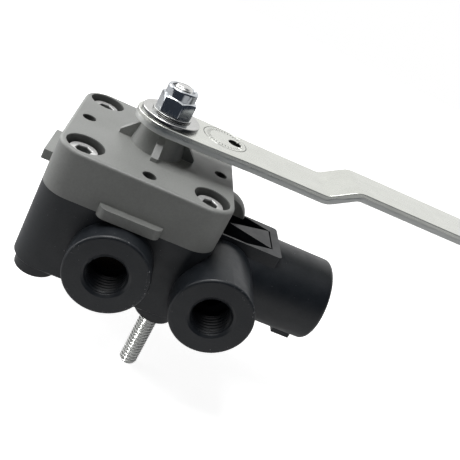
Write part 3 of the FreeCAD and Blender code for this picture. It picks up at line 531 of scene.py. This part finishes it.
def carved(mesh, cutter):
    """A mesh with the shape of a cutter taken out of it."""
    piece = placed("piece", mesh)
    tool = placed("tool", cutter)
    cut = piece.modifiers.new("cut", "BOOLEAN")
    cut.operation = "DIFFERENCE"
    cut.solver = "EXACT"
    cut.object = tool
    done = applied(piece)
    bpy.data.objects.remove(piece)
    bpy.data.objects.remove(tool)
    print("carved", len(mesh.polygons), "faces to", len(done.polygons))
    return done


def evened(mesh):
    """A mesh whose normals follow its large faces, so flat faces stay flat up to their rounded edges."""
    holder = placed("holder", shaded(mesh, 35))
    holder.modifiers.new("normals", "WEIGHTED_NORMAL").keep_sharp = True
    done = applied(holder)
    bpy.data.objects.remove(holder)
    return done


def softened(name, width, segments=3, angle=28.0, body="housing", cutters=()):
    """A copy of a node with its true edges rounded and the cutters taken out, which replaces the node."""
    piece = placed(name + "_soft", merged_copy(name, join_flats=True))
    bevel = piece.modifiers.new("edges", "BEVEL")
    bevel.width = width
    bevel.segments = segments
    bevel.limit_method = "ANGLE"
    bevel.angle_limit = radians(angle)
    done = applied(piece)
    piece.modifiers.clear()
    for cutter in cutters:
        done = carved(done, cutter)
    piece.data = evened(done)
    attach(piece, body)
    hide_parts(name)
    print(piece.name, len(piece.data.polygons), "faces,", open_edges(piece.data), "open edges")
    return piece


cap_piece = softened("cap_housing", 0.22 * MM)
softened("flat_washer", 0.1 * MM, body="lever")
softened("small_washer", 0.15 * MM, body="lever")

# %% [markdown]
# The round stamp on the lever is a shallow groove with ticks inside it. A tree makes the punch: a circle with a
# square section, and slim blocks set round a smaller circle, each turned to face the middle. The punch is sunk into
# the lever's top and taken out of it.

# %% Stamp on the lever
ARM_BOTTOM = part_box("lever_arm")[0].z
ARM_THICKNESS = 3.25 * MM

punch = Tree("stamp_punch", {
    "Radius": (LENGTH, RING_RADIUS), "Line": (LENGTH, 0.32 * MM), "Ticks": (COUNT, 36),
    "Tick Length": (LENGTH, 1.4 * MM), "Inset": (LENGTH, 1.7 * MM), "Depth": (LENGTH, 0.16 * MM),
    "Material": (MATERIAL, None),
})
given = punch.given
ring = punch.node("GeometryNodeCurvePrimitiveCircle", {"Resolution": 96, "Radius": given["Radius"]}).outputs[0]
cutter_height = punch.calc("MULTIPLY", given["Depth"], 2.0)
section = punch.node("GeometryNodeCurvePrimitiveQuadrilateral", {
    "Width": given["Line"], "Height": cutter_height}).outputs[0]
groove = punch.node("GeometryNodeCurveToMesh", {"Curve": ring, "Profile Curve": section}).outputs[0]
spots = punch.node("GeometryNodeMeshCircle", {
    "Vertices": given["Ticks"], "Radius": punch.calc("SUBTRACT", given["Radius"], given["Inset"])}).outputs[0]
tick_turn = punch.calc("DIVIDE", punch.calc("MULTIPLY", punch.node("GeometryNodeInputIndex").outputs[0], 2 * pi),
                       given["Ticks"])
tick_size = punch.node("ShaderNodeCombineXYZ", {
    "X": given["Tick Length"], "Y": punch.calc("MULTIPLY", given["Line"], 0.8), "Z": cutter_height}).outputs[0]
tick = punch.node("GeometryNodeMeshCube", {"Size": tick_size}).outputs["Mesh"]
ticks = punch.node("GeometryNodeInstanceOnPoints", {
    "Points": spots, "Instance": tick,
    "Rotation": punch.node("ShaderNodeCombineXYZ", {"Z": tick_turn}).outputs[0]}).outputs[0]
stamp = grown("stamp_punch", punch.close(punch.join(groove, ticks)), {"Material": zinc_arm})
stamp.transform(Matrix.Translation(Vector(RING_CENTRE) + Vector((0, 0, ARM_BOTTOM + ARM_THICKNESS))))

# %% [markdown]
# The lever's side needs to know how high each point is in the strip, even on the bend. The mesh stores it: the
# strip's underside is 0 and its top is 1. A straight strip would only need the height, and here the rise of the
# double bend is taken off first.

# %% Lever with softened edges and its rise
ARM_RISE = 5.85 * MM
BEND_START = 58.8 * MM
BEND_RUN = 9.4 * MM

arm_piece = softened("lever_arm", 0.3 * MM, angle=40.0, body="lever", cutters=[stamp])
rise = arm_piece.data.attributes.new("rise", "FLOAT", "POINT")
for vertex, item in zip(arm_piece.data.vertices, rise.data):
    along = vertex.co.x * cos(ARM_TURN) + vertex.co.y * sin(ARM_TURN)
    lifted = min(max((along - BEND_START) / BEND_RUN, 0.0), 1.0) * ARM_RISE
    item.value = (vertex.co.z - ARM_BOTTOM - lifted) / ARM_THICKNESS
print("rise from", round(min(item.value for item in rise.data), 2), "to",
      round(max(item.value for item in rise.data), 2))

# %% [markdown]
# The studs and the shaft's end are threaded. A thread is the best case for Geometry Nodes: it follows a rule. A flat
# grid is wrapped round the axis, and each row climbs by one pitch for one turn, so the rows lie along the thread.
# The radius changes only from row to row: crest, flank, root, flank. Both ends are clamped to the bar's length, where
# the chamfer cuts the thread off, and the first and last rows close the ends.

# %% Thread tree
thread = Tree("thread", {
    "Radius": (LENGTH, 3.1 * MM), "Pitch": (LENGTH, 1.27 * MM), "Depth": (LENGTH, 0.7 * MM),
    "Length": (LENGTH, 22.4 * MM), "Chamfer": (LENGTH, 0.8 * MM), "Sides": (COUNT, 48),
    "Material": (MATERIAL, None),
})
STEPS = 6
given = thread.given
turns = thread.calc("DIVIDE", given["Length"], given["Pitch"])
rows = thread.calc("ADD", thread.calc("CEIL", thread.calc("MULTIPLY", turns, STEPS)), 2 * STEPS + 4)
columns = thread.calc("ADD", given["Sides"], 1)
grid = thread.node("GeometryNodeMeshGrid", {"Size X": 1.0, "Size Y": 1.0, "Vertices X": columns,
                                            "Vertices Y": rows}).outputs["Mesh"]
index = thread.node("GeometryNodeInputIndex").outputs[0]
column = thread.calc("FLOOR", thread.calc("DIVIDE", thread.calc("ADD", index, 0.5), rows))
row = thread.calc("SUBTRACT", index, thread.calc("MULTIPLY", column, rows))
around = thread.calc("DIVIDE", column, given["Sides"])
climb = thread.calc("ADD", thread.calc("DIVIDE", thread.calc("SUBTRACT", row, STEPS + 2), STEPS), around)
height = thread.calc("MINIMUM", thread.calc("MAXIMUM", thread.calc("MULTIPLY", climb, given["Pitch"]), 0.0),
                     given["Length"])
phase = thread.calc("DIVIDE", thread.calc("FLOORED_MODULO", row, STEPS), STEPS)
wave = thread.calc("ABSOLUTE", thread.calc("SUBTRACT", thread.calc("MULTIPLY", phase, 2.0), 1.0))
cut = thread.node("ShaderNodeMapRange", {"Value": wave, "From Min": 0.25, "From Max": 0.95}).outputs["Result"]
thread_radius = thread.calc("SUBTRACT", given["Radius"], thread.calc("MULTIPLY", cut, given["Depth"]))
end_gap = thread.calc("MINIMUM", height, thread.calc("SUBTRACT", given["Length"], height))
limit = thread.calc("ADD", thread.calc("SUBTRACT", given["Radius"], given["Chamfer"]), end_gap)
kept = thread.calc("MINIMUM", thread_radius, limit)
first_row = thread.calc("LESS_THAN", row, 0.5)
last_row = thread.calc("GREATER_THAN", row, thread.calc("SUBTRACT", rows, 1.5))
open_row = thread.calc("SUBTRACT", 1.0, thread.calc("ADD", first_row, last_row))
radius = thread.calc("MULTIPLY", kept, open_row)
angle = thread.calc("MULTIPLY", around, 2 * pi)
spot = thread.node("ShaderNodeCombineXYZ", {
    "X": thread.calc("MULTIPLY", radius, thread.calc("COSINE", angle)),
    "Y": thread.calc("MULTIPLY", radius, thread.calc("SINE", angle)),
    "Z": height}).outputs[0]
wrapped = thread.node("GeometryNodeSetPosition", {"Geometry": grid, "Position": spot}).outputs[0]
marked = thread.node("GeometryNodeStoreNamedAttribute", {"Geometry": wrapped, "Name": "groove", "Value": cut},
                     data_type="FLOAT", domain="POINT").outputs[0]
merged = thread.node("GeometryNodeMergeByDistance", {"Geometry": marked, "Distance": 0.003 * MM}).outputs[0]
thread_tree = thread.close(merged)
print("thread tree:", len(thread_tree.nodes), "nodes")

# %% [markdown]
# The two air ports and the small pilot port are threaded inside. The same tree makes a tap: a threaded bar a little
# wider than the bore, which is taken out of the moulded wall, as a real tap would do it.

# %% Body and end cap with tapped ports
TAP_RADIUS = 6.7 * MM
TAP_PITCH = 1.411 * MM
TAP_DEPTH = 0.62 * MM
TAP_CHAMFER = 0.6 * MM
TAP_START = 0.5 * MM
PILOT_AXIS_Y = -2.2 * MM
PILOT_FACE_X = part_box("dump_end_cap")[1].x


def tap(name, mouth, toward, material, length):
    """A threaded cutter that stands in a port's mouth and points into its bore."""
    mesh = grown(name, thread_tree, {"Radius": TAP_RADIUS, "Pitch": TAP_PITCH, "Depth": TAP_DEPTH,
                                     "Chamfer": TAP_CHAMFER, "Length": length, "Material": material})
    turn = Vector((0, 0, 1)).rotation_difference(Vector(toward)).to_matrix().to_4x4()
    mesh.transform(Matrix.Translation(Vector(mouth) + Vector(toward) * TAP_START) @ turn)
    return mesh


front_taps = [tap("port_tap", (x, PORT_FACE_Y, z), (0, 1, 0), black_body, 9.2 * MM) for x, z in PORT_CENTRES]
softened("valve_body", 0.25 * MM, cutters=front_taps)
pilot_tap = tap("pilot_tap", (PILOT_FACE_X, PILOT_AXIS_Y, PORT_HEIGHT), (-1, 0, 0), black_plug, 6.8 * MM)
softened("dump_end_cap", 0.15 * MM, segments=2, cutters=[pilot_tap])

# %% [markdown]
# The lock nut and the screw heads are turned pieces with a hexagon in them. Both are built the same way: the section
# is a list of radius and height, and it goes round the axis in columns. A column on a flat of the hexagon reaches
# less far than one at a corner. Where the nut's cone meets its flats, the height follows from that reach, which
# gives the curved edges that every real nut has.

# %% Turned pieces with a hexagon
def hexagon_columns(flats, corner_round, turn, steps=8):
    """Angle and reach of points round a hexagon whose corners are slightly rounded."""
    columns = []
    inner = flats / 2 - corner_round

    def corner(angle):
        return Vector((cos(angle), sin(angle))) * (inner / cos(pi / 6))

    def add(spot):
        columns.append((atan2(spot.y, spot.x) + turn, spot.length))

    for number in range(6):
        middle = pi / 3 * number
        for step in range(5):
            angle = middle + pi / 6 * (step / 2 - 1)
            add(corner(middle) + Vector((cos(angle), sin(angle))) * corner_round)
        outwards = Vector((cos(middle + pi / 6), sin(middle + pi / 6))) * corner_round
        first, last = corner(middle) + outwards, corner(middle + pi / 3) + outwards
        for step in range(1, steps):
            add(first.lerp(last, step / steps))
    return columns


def turned(name, columns, section, material, closed=True):
    """A body whose section is asked for at each column's reach, and swept round the Z axis."""
    shape = bmesh.new()
    rings = [[shape.verts.new((radius * cos(angle), radius * sin(angle), height))
              for radius, height in section(reach)] for angle, reach in columns]
    rows = len(rings[0])
    for index, ring in enumerate(rings):
        other = rings[(index + 1) % len(rings)]
        for row in range(rows if closed else rows - 1):
            after = (row + 1) % rows
            shape.faces.new((ring[row], other[row], other[after], ring[after]))
    bmesh.ops.remove_doubles(shape, verts=shape.verts, dist=DOUBLES / 2)
    bmesh.ops.dissolve_degenerate(shape, dist=DOUBLES / 2, edges=shape.edges)
    bmesh.ops.recalc_face_normals(shape, faces=shape.faces)
    mesh = bpy.data.meshes.new(name)
    shape.to_mesh(mesh)
    shape.free()
    mesh.materials.append(material)
    print(name, len(mesh.polygons), "faces,", open_edges(mesh), "open edges")
    return shaded(mesh, 34)


print("a hexagon has", len(hexagon_columns(0.01, 0.0003, 0.0)), "columns")

# %% [markdown]
# The nut's collar is rolled inwards over a nylon ring, so its top is a soft lip. The nut keeps the place and the
# sizes of the CAD's nut, which it replaces.

# %% Lock nut
NUT_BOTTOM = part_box("lock_nut")[0].z
COLLAR_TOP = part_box("lock_nut")[1].z
NUT_TOP = COLLAR_TOP - 3.4 * MM
NUT_FLATS = 11.11 * MM
NUT_FACE = NUT_FLATS / 2 - 0.15 * MM
NUT_BORE = 3.225 * MM
NUT_CHAMFER = 0.55 * MM
COLLAR_RADIUS = 5.25 * MM
LIP_RADIUS = 0.8 * MM
LIP_STEPS = 8
RING_SPACE = 4.325 * MM
RING_TOP = COLLAR_TOP - 0.7 * MM
RING_BOTTOM = COLLAR_TOP - 2.7 * MM


def nut_section(reach):
    """Radius and height of the nut from its bore's foot, up the outside and back down the bore."""
    drop = NUT_CHAMFER * min(max((reach - NUT_FACE) / MM, 0.0), 1.0)
    soft = min(0.1 * MM, drop / 2)
    foot = NUT_BOTTOM + drop * 0.25
    rows = [(NUT_BORE, NUT_BOTTOM), (NUT_FACE, NUT_BOTTOM), (reach - soft, foot),
            (reach, foot + soft), (reach, NUT_TOP - drop - soft),
            (reach - soft, NUT_TOP - drop + soft * 0.5), (NUT_FACE, NUT_TOP),
            (COLLAR_RADIUS + 0.1 * MM, NUT_TOP + 0.03 * MM), (COLLAR_RADIUS, NUT_TOP + 0.15 * MM)]
    for step in range(LIP_STEPS + 1):
        angle = pi / 2 * step / LIP_STEPS
        rows.append((COLLAR_RADIUS - LIP_RADIUS * (1 - cos(angle)), COLLAR_TOP - LIP_RADIUS * (1 - sin(angle))))
    lip = COLLAR_RADIUS - LIP_RADIUS - 0.25 * MM
    rows += [(lip, COLLAR_TOP - 0.05 * MM), (lip - 0.2 * MM, COLLAR_TOP - 0.3 * MM),
             (lip - 0.2 * MM, RING_TOP), (RING_SPACE, RING_TOP), (RING_SPACE, RING_BOTTOM), (NUT_BORE, RING_BOTTOM)]
    return rows


nut_mesh = turned("lock_nut_turned", hexagon_columns(NUT_FLATS, 0.4 * MM, radians(-75)), nut_section, zinc_nut)
shown("lock_nut_turned", nut_mesh, "lever", "lock_nut")

# %% [markdown]
# A cap screw's head has a hexagon socket with a drilled floor, a bright chamfer and a knurled side. The knurl is a
# ring of small ridges, so a Geometry Nodes tree makes it: a circle gives the points, and a slim rod stands on each.
# The same tree then sets the finished screw at the four corners of the cap.

# %% Cap screws
HEAD_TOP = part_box("cap_screws")[1].z
HEAD_BOTTOM = HEAD_TOP - 6.35 * MM
HEAD_RADIUS = 4.66 * MM
SHANK_RADIUS = 2.76 * MM
SOCKET_FLATS = 4.76 * MM
SCREW_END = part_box("cap_screws")[0].z
RIDGE_LENGTH = 5.4 * MM
RIDGE_HEIGHT = HEAD_BOTTOM + 0.2 * MM + RIDGE_LENGTH / 2


def screw_section(reach):
    """Radius and height of a screw from its socket's floor, over the head and down to its end."""
    return [(0.0, HEAD_TOP - 3.7 * MM), (reach, HEAD_TOP - 3.0 * MM), (reach, HEAD_TOP - 0.16 * MM),
            (reach + 0.16 * MM, HEAD_TOP), (4.3 * MM, HEAD_TOP), (4.42 * MM, HEAD_TOP - 0.03 * MM),
            (4.62 * MM, HEAD_TOP - 0.3 * MM), (HEAD_RADIUS, HEAD_TOP - 0.45 * MM), (HEAD_RADIUS, HEAD_BOTTOM),
            (SHANK_RADIUS, HEAD_BOTTOM), (SHANK_RADIUS, SCREW_END), (0.0, SCREW_END)]


screw_mesh = turned("cap_screw_turned", hexagon_columns(SOCKET_FLATS, 0.12 * MM, radians(15)), screw_section,
                    zinc_screws, closed=False)

four = Tree("four_screws", {
    "Spacing": (LENGTH, 2 * SCREW_OFFSET), "Knurl Radius": (LENGTH, HEAD_RADIUS), "Ridges": (COUNT, 64),
    "Ridge Size": (LENGTH, 0.13 * MM), "Material": (MATERIAL, None),
})
given = four.given
circle = four.node("GeometryNodeMeshCircle", {"Vertices": given["Ridges"], "Radius": given["Knurl Radius"]})
ridge = four.node("GeometryNodeMeshCylinder", {"Vertices": 6, "Radius": given["Ridge Size"], "Depth": RIDGE_LENGTH})
ridges = four.node("GeometryNodeInstanceOnPoints", {"Points": circle.outputs[0],
                                                    "Instance": ridge.outputs["Mesh"]}).outputs[0]
knurl = four.node("GeometryNodeTransform", {"Geometry": ridges, "Translation": (0, 0, RIDGE_HEIGHT)}).outputs[0]
corners = four.node("GeometryNodeMeshGrid", {"Size X": given["Spacing"], "Size Y": given["Spacing"],
                                             "Vertices X": 2, "Vertices Y": 2}).outputs["Mesh"]
screws = four.node("GeometryNodeInstanceOnPoints", {
    "Points": corners, "Instance": four.join(given["Geometry"], knurl)}).outputs[0]
screws_mesh = grown("cap_screw_heads", four.close(screws), {"Material": zinc_screws}, screw_mesh)
shown("cap_screw_heads", screws_mesh, "housing", "cap_screws")

# %% [markdown]
# The two studs stand at opposite corners and point down. Each is one thread from inside its foot to its end. The
# part that is moulded into the foot is hidden, so it needs no shape of its own here.

# %% Mounting studs
STUD_PLACES = ((20.8 * MM, -20.8 * MM), (-20.8 * MM, 20.8 * MM))
STUD_TOP = 1.0 * MM
STUD_LENGTH = 23.4 * MM


def joined(meshes):
    """One mesh from several, with their materials kept."""
    shape = bmesh.new()
    result = bpy.data.meshes.new("joined")
    for mesh in meshes:
        start = len(shape.faces)
        shape.from_mesh(mesh)
        shape.faces.ensure_lookup_table()
        if mesh.materials[0] not in result.materials[:]:
            result.materials.append(mesh.materials[0])
        for face in shape.faces[start:]:
            face.material_index = result.materials[:].index(mesh.materials[0])
    shape.to_mesh(result)
    shape.free()
    return shaded(result, 32)


stud_meshes = []
for x, y in STUD_PLACES:
    mesh = grown("stud_thread", thread_tree, {"Length": STUD_LENGTH, "Material": zinc_studs})
    mesh.transform(Matrix.Translation((x, y, STUD_TOP)) @ Matrix.Rotation(pi, 4, "X"))
    stud_meshes.append(mesh)
studs = shown("mounting_stud_threads", joined(stud_meshes), "housing", "mounting_studs")
print("studs:", len(studs.data.polygons), "faces,", open_edges(studs.data), "open edges")

# %% [markdown]
# Only the last turns of the shaft's thread stand out of the nut. The shaft's lower part is the CAD's own mesh, cut
# off inside the nut, and the thread takes over from there.

# %% Shaft with its threaded end
SHAFT_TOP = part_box("lever_shaft")[1].z
THREAD_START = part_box("lock_nut")[0].z + 0.5 * MM
THREAD_OVERLAP = 0.4 * MM
lower = bmesh.new()
lower.from_mesh(nodes["lever_shaft"].data)
bmesh.ops.remove_doubles(lower, verts=lower.verts, dist=DOUBLES)
cut_result = bmesh.ops.bisect_plane(lower, geom=lower.verts[:] + lower.edges[:] + lower.faces[:],
                                    plane_co=(0, 0, THREAD_START), plane_no=(0, 0, 1), clear_outer=True)
bmesh.ops.holes_fill(lower, edges=[item for item in cut_result["geom_cut"] if isinstance(item, bmesh.types.BMEdge)])
lower_mesh = bpy.data.meshes.new("shaft_lower")
lower.to_mesh(lower_mesh)
lower.free()
lower_mesh.materials.append(shaft_steel)
upper_mesh = grown("shaft_thread", thread_tree, {
    "Radius": 3.175 * MM, "Pitch": 0.907 * MM, "Depth": 0.5 * MM, "Chamfer": 0.75 * MM,
    "Length": SHAFT_TOP - THREAD_START + THREAD_OVERLAP, "Material": shaft_steel})
upper_mesh.transform(Matrix.Translation((0, 0, THREAD_START - THREAD_OVERLAP)))
shown("lever_shaft_threaded", joined([lower_mesh, upper_mesh]), "lever", "lever_shaft")

# %% [markdown]
# Two springs sit inside the body, behind the check valve and behind the dump piston. A spring gets shorter as its
# valve opens, but each one here is a copy of its node with its doubles merged, at the CAD's length, which stands in
# for the node.

# %% Spring copies
SPRINGS = (("check_spring", "check_slide", Vector((0, 1, 0)), 2.0 * MM),
           ("dump_spring", "dump_slide", Vector((-1, 0, 0)), 3.5 * MM))
for name, joint, toward, travel in SPRINGS:
    coil = merged_copy(name)
    coil.set_sharp_from_angle(angle=radians(32))
    spring = shown(name + "_coil", coil, "housing", name)
    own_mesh(spring)

# %% [markdown]
# The stage is a pale floor under the studs. It is white only for the camera, and dim in reflections, because the
# photograph's nut and washer edges are dark. For soft light the floor is grey, so that it doesn't throw a glow on
# the undersides. Far from the object it glows a little more, which hides the line where it ends.

# %% Floor
FLOOR_MIDDLE = (0.05, 0.45)
FLOOR_HALF = 0.6
FLOOR_GLOW = 0.86
FLOOR_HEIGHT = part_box("mounting_studs")[0].z - 0.2 * MM

floor_mesh = bpy.data.meshes.new("floor")
shape = bmesh.new()
bmesh.ops.create_grid(shape, x_segments=1, y_segments=1, size=FLOOR_HALF)
bmesh.ops.translate(shape, verts=shape.verts, vec=(*FLOOR_MIDDLE, FLOOR_HEIGHT))
shape.to_mesh(floor_mesh)
shape.free()
finish = Finish("floor_pale", specular=0.0)
rays = finish.node("ShaderNodeLightPath").outputs
split = finish.parts()
glow = finish.between(finish.far(split["X"], split["Y"]), 0.1, 0.3, FLOOR_GLOW, 1.0)
seen = finish.calc("MULTIPLY", rays["Is Camera Ray"], glow)
mirrored = finish.calc("MULTIPLY", rays["Is Glossy Ray"], finish.between(split["Y"], -0.06, 0.03, 0.35, 0.2))
finish.shader.inputs["Emission Color"].default_value = (1, 1, 1, 1)
finish.tree.links.new(finish.calc("ADD", seen, mirrored), finish.shader.inputs["Emission Strength"])
floor_mesh.materials.append(finish.paint(
    finish.blend(rays["Is Camera Ray"], (0.4, 0.4, 0.405), (0.8, 0.8, 0.8)), 0.9))
floor = placed("floor", floor_mesh)

# %% [markdown]
# A large soft box stands over the left shoulder and another on the left, and a weak fill on the right lifts that
# side without showing in the metal. Two small lamps each light one piece only: one brings out the stud under the
# body, and one gives a gleam to the cap's edges and gussets. Neither could be had from the large boxes without
# making the rest too bright.

# %% Lamps
SOFT_BOXES = {
    "top_box": ((-0.2, 0.0, 0.57), (0.02, 0.0, 0.03), (0.36, 0.3), 2.15),
    "left_box": ((-0.52, 0.24, 0.2), (0.0, 0.0, 0.03), (0.45, 0.4), 2.0),
    "right_fill": ((0.5, -0.12, 0.16), (0.02, 0.0, 0.02), (0.3, 0.15), 0.35),
    "stud_lamp": ((-0.11, -0.15, 0.0), (0.02, -0.02, -0.01), (0.05, 0.02), 0.2),
    "edge_lamp": ((0.05, -0.2, 0.56), (0.0, 0.0, 0.04), (0.16, 0.1), 1.6),
}
lamps = {}
for name, (place, target, size, power) in SOFT_BOXES.items():
    light = bpy.data.lights.new(name, "AREA")
    light.shape = "RECTANGLE"
    light.size, light.size_y = size
    light.energy = power
    lamps[name] = lamp = placed(name, light)
    lamp.location = place
    lamp.rotation_mode = "QUATERNION"
    lamp.rotation_quaternion = (Vector(target) - Vector(place)).to_track_quat("-Z", "Y")
lamps["right_fill"].visible_glossy = False
lamps["edge_lamp"].visible_diffuse = False
for name, piece in (("stud_lamp", studs), ("edge_lamp", cap_piece)):
    lit = bpy.data.collections.new("lit_by_" + name)
    lit.objects.link(piece)
    lamps[name].light_linking.receiver_collection = lit
print(len(lamps), "lamps of", [power for *_, power in SOFT_BOXES.values()], "watts")

# %% [markdown]
# Metal shows the room round it, so the world has two faces. In reflections it is a dark blue-grey room with a white
# patch behind the object, one above it on the left, and a dimmer one low in front on the right. Soft light gets a
# faint dome from above, brightest on the left, and a pale card from below the horizon. The camera sees only white.

# %% World
ROOM_DARK = (0.035, 0.042, 0.055, 1)
WHITE = (1, 1, 1, 1)
AMBIENT = 0.16
CARD = 0.42
world = bpy.data.worlds.new("studio")
world.use_nodes = True
bpy.context.scene.world = world
sky = world.node_tree
sky.nodes.clear()
rays = wired(sky, "ShaderNodeLightPath").outputs
direction = wired(sky, "ShaderNodeTexCoord").outputs["Generated"]


def sky_calc(operation, *values):
    return wired(sky, "ShaderNodeMath", dict(enumerate(values)), operation=operation).outputs[0]


def patch(toward, low, high, top=1.0):
    """A bright patch of sky round a direction, with a soft edge."""
    dot = wired(sky, "ShaderNodeVectorMath", {0: direction, 1: toward}, operation="DOT_PRODUCT").outputs["Value"]
    return wired(sky, "ShaderNodeMapRange", {"Value": dot, "From Min": low, "From Max": high, "To Max": top},
                 interpolation_type="SMOOTHSTEP").outputs["Result"]


behind = patch((0.1, 0.86, 0.5), 0.3, 0.75)
overhead = patch((-0.45, -0.1, 0.89), 0.6, 0.88)
low_front = patch((0.62, -0.72, -0.3), 0.88, 0.97, 0.5)
dome = patch((-0.45, 0.35, 0.82), 0.15, 0.9)
bright = sky_calc("MAXIMUM", sky_calc("MAXIMUM", behind, overhead), low_front)
soft_or_seen = sky_calc("SUBTRACT", 1.0, rays["Is Glossy Ray"])
whiteness = sky_calc("MAXIMUM", bright, soft_or_seen)
tint = wired(sky, "ShaderNodeMix", {0: whiteness, 6: ROOM_DARK, 7: WHITE}, data_type="RGBA").outputs[2]
height = wired(sky, "ShaderNodeSeparateXYZ", {0: direction}).outputs["Z"]
card = wired(sky, "ShaderNodeMapRange", {"Value": height, "From Min": 0.05, "From Max": -0.15,
                                         "To Max": CARD}).outputs["Result"]
ambient = sky_calc("MULTIPLY_ADD", dome, AMBIENT, card)
sharp_rays = sky_calc("MAXIMUM", rays["Is Glossy Ray"], rays["Is Camera Ray"])
strength = wired(sky, "ShaderNodeMix", {0: sharp_rays, 2: ambient, 3: 1.0}, data_type="FLOAT").outputs[0]
backdrop = wired(sky, "ShaderNodeBackground", {"Color": tint, "Strength": strength}).outputs[0]
wired(sky, "ShaderNodeOutputWorld", {"Surface": backdrop})
print("world:", len(sky.nodes), "nodes")
